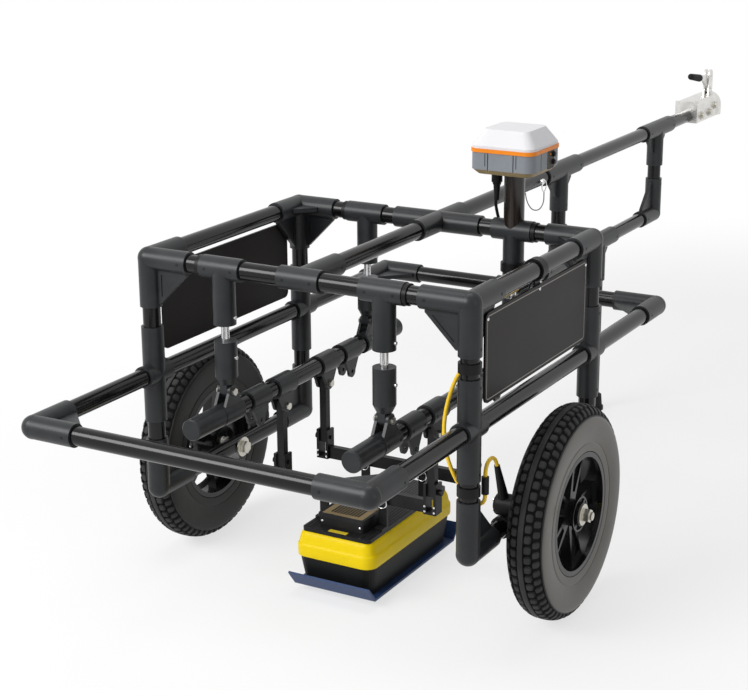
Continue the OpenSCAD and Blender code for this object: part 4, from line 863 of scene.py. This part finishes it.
# sensor top plate: low ribs along the cart, long ones beside the box and short ones ahead of it
ribs = {"pitch": 8.5, "each": 10, "wide": 4.2, "corner": 1.6,
        "levels": [(-0.4, 0), (0.5, 0), (0.9, 0.5)], "top": 168,
        "deckRibsBeside": (386, 0), "deckRibsAhead": (262, 63), "boxHalf": 64}
unturned = (0, 0, 0)


def makeRibs(spec):
    columns = [i * spec["pitch"] for i in range(-spec["each"], spec["each"] + 1)]
    rows = {"deckRibsBeside": [x for x in columns if abs(x) > spec["boxHalf"]],
            "deckRibsAhead": [x for x in columns if abs(x) < spec["boxHalf"]]}
    for name, xs in rows.items():
        length, y = spec[name]
        shape = slab(spec["wide"], length, spec["corner"], spec["levels"])
        places = [((x, y, spec["top"]), unturned) for x in xs]
        spreadCopies(name, shape, places, "barBlack", "sensor")


makeRibs(ribs)

# electronics box: tan lid with dark ridges, and a bare label
lid = {"centre": (0, -124, 199), "size": (110, 84), "corner": 4,
       "levels": [(0.1, 0), (1.2, 0), (1.6, 0.4)],
       "ridges": 10, "pitch": 8.0, "back": 6, "ridge": (4.2, 46.0), "ridgeCorner": 1.2,
       "ridgeLevels": [(1.4, 0), (2.3, 0), (2.8, 0.5)],
       "label": (2, -188, 168), "labelSize": (50, 14), "labelCorner": 1.0,
       "labelLevels": [(-0.4, 0), (0.3, 0), (0.5, 0.2)]}


def makeLid(spec):
    _, y, z = spec["centre"]
    plate = slab(*spec["size"], spec["corner"], spec["levels"])
    seat("boxLid", plate, spec["centre"], up, "lidTan", "sensor")
    first = -spec["pitch"] * (spec["ridges"] - 1) / 2
    ridge = slab(*spec["ridge"], spec["ridgeCorner"], spec["ridgeLevels"])
    places = [((first + i * spec["pitch"], y - spec["back"], z), unturned)
              for i in range(spec["ridges"])]
    spreadCopies("boxRidges", ridge, places, "boxBlack", "sensor")
    label = slab(*spec["labelSize"], spec["labelCorner"], spec["labelLevels"])
    seat("boxLabel", label, spec["label"], up, "labelYellow", "sensor")


makeLid(lid)
print("sensor shell, ribs and box lid made")

# receiver: port panel on its right face, lamps, port caps, and the plug on its lead
receiver = {"face": (292, 350, 1003), "panel": (48, 36), "corner": 4,
            "levels": [(-0.6, 0), (0.7, 0), (1.1, 0.4)], "proud": 1,
            "lamps": 5, "lampPitch": 7.0, "lampIn": 7, "redLamp": (-4, 12), "redSize": 1.5,
            "capIn": 10, "capZs": (-9, 10), "plugFoot": (160, 328, 928), "plugSides": 32,
            "plug": [(5.4, -36), (6.6, -34), (7.2, -20), (8.2, -8), (8.8, 3), (10.2, 4),
                     (10.6, 5), (10.6, 9), (13.2, 10), (13.6, 11), (13.6, 33), (13.2, 34),
                     (12.4, 35), (12.4, 41.6)]}


def makeReceiver(spec):
    x, y, z = spec["face"]
    w, h = spec["panel"]
    out = x + spec["proud"]
    plate = slab(h, w, spec["corner"], spec["levels"])
    seat("portPanel", plate, spec["face"], east, "portBrown", "frame")
    first = -spec["lampPitch"] * (spec["lamps"] - 1) / 2
    lamps = [((out, y - w / 2 + spec["lampIn"], z + first + i * spec["lampPitch"]), east)
             for i in range(spec["lamps"])]
    placeScrews("portLamps", "lamp", lamps, "lidTan", "frame")
    red = [((out, y + spec["redLamp"][0], z + spec["redLamp"][1]), east)]
    placeScrews("portLampRed", "lamp", red, "receiverOrange", "frame",
                spec["redSize"])
    caps = [((out, y + w / 2 - spec["capIn"], z + d), east) for d in spec["capZs"]]
    placeScrews("portCaps", "portCap", caps, "leadBlack", "frame")
    body = lathe(inMetres(spec["plug"]), spec["plugSides"])
    plug = seat("receiverPlug", body, spec["plugFoot"], up, "encoderBlack", "frame",
                smooth=True)
    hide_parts("receiver_lead")


makeReceiver(receiver)
print("receiver ports made")

# floor, backdrop and light: the floor's own white grows with the distance from the cart
studio = {"floorSize": 30.0, "floorDrop": 0.0005, "floorColor": (0.9, 0.9, 0.9), "floorRoughness": 0.9,
          "white": (1, 1, 1), "ambient": 0.42, "near": 0.68, "reach": (0.9, 2.0), "fade": (0.9, 1.9),
          "lamps": [("overheadLamp", (-0.3, -0.9, 4.0), (0, -0.7, 0.4), (1.2, 2.6), 34.0),
                    ("rearBox", (-1.9, -4.2, 3.0), (0, -0.8, 0.5), (2.8, 1.9), 165.0),
                    ("rightStrip", (4.0, -2.2, 1.7), (0.3, -0.8, 0.5), (0.3, 2.4), 10.0)]}


def makeFloor(spec):
    half = spec["floorSize"] / 2
    corners = [(-half, -half, 0), (half, -half, 0), (half, half, 0), (-half, half, 0)]
    mesh = bpy.data.meshes.new("studioFloor")
    mesh.from_pydata(corners, [], [(0, 1, 2, 3)])
    floor = addObject("studioFloor", mesh)
    floor.location.z = -spec["floorDrop"]
    p = Paint("floorWhite", spec["floorColor"], spec["floorRoughness"])
    x, y, _ = p.axes(p.coords())
    across, along = x / spec["reach"][0], y / spec["reach"][1]
    away = ((along * along + across * across) ** 0.5).step(*spec["fade"])
    seen = p.rays() * (away * (1 - spec["near"]) + spec["near"])
    glow = p.node("ShaderNodeEmission", None, {"Color": spec["white"], "Strength": 1.0})
    lit = Wire(p, p.shader.outputs[0])
    p.feed(p.out, p.node("ShaderNodeMixShader", None, {0: seen, 1: lit, 2: glow}))
    mesh.materials.append(p.material)


def makeWorld(spec):
    world = bpy.data.worlds.new("studioWorld")
    bpy.context.scene.world = world
    world.use_nodes = True
    sky = Canvas(world.node_tree)
    strength = sky.rays() * (1 - spec["ambient"]) + spec["ambient"]
    back = sky.node("ShaderNodeBackground", None, {"Color": spec["white"], "Strength": strength})
    sky.feed(sky.tree.nodes.new("ShaderNodeOutputWorld").inputs[0], back)


def makeLamps(spec):
    for name, place, aim, size, power in spec["lamps"]:
        lamp = bpy.data.lights.new(name, "AREA")
        lamp.shape = "RECTANGLE"
        lamp.size, lamp.size_y = size
        lamp.energy = power
        holder = addObject(name, lamp)
        holder.visible_camera = False
        holder.location = place
        holder.rotation_euler = (Vector(aim) - Vector(place)).to_track_quat("-Z", "Y").to_euler()


makeFloor(studio)
makeWorld(studio)
makeLamps(studio)
bpy.context.scene.view_settings.view_transform = "Standard"
print("studio ready")
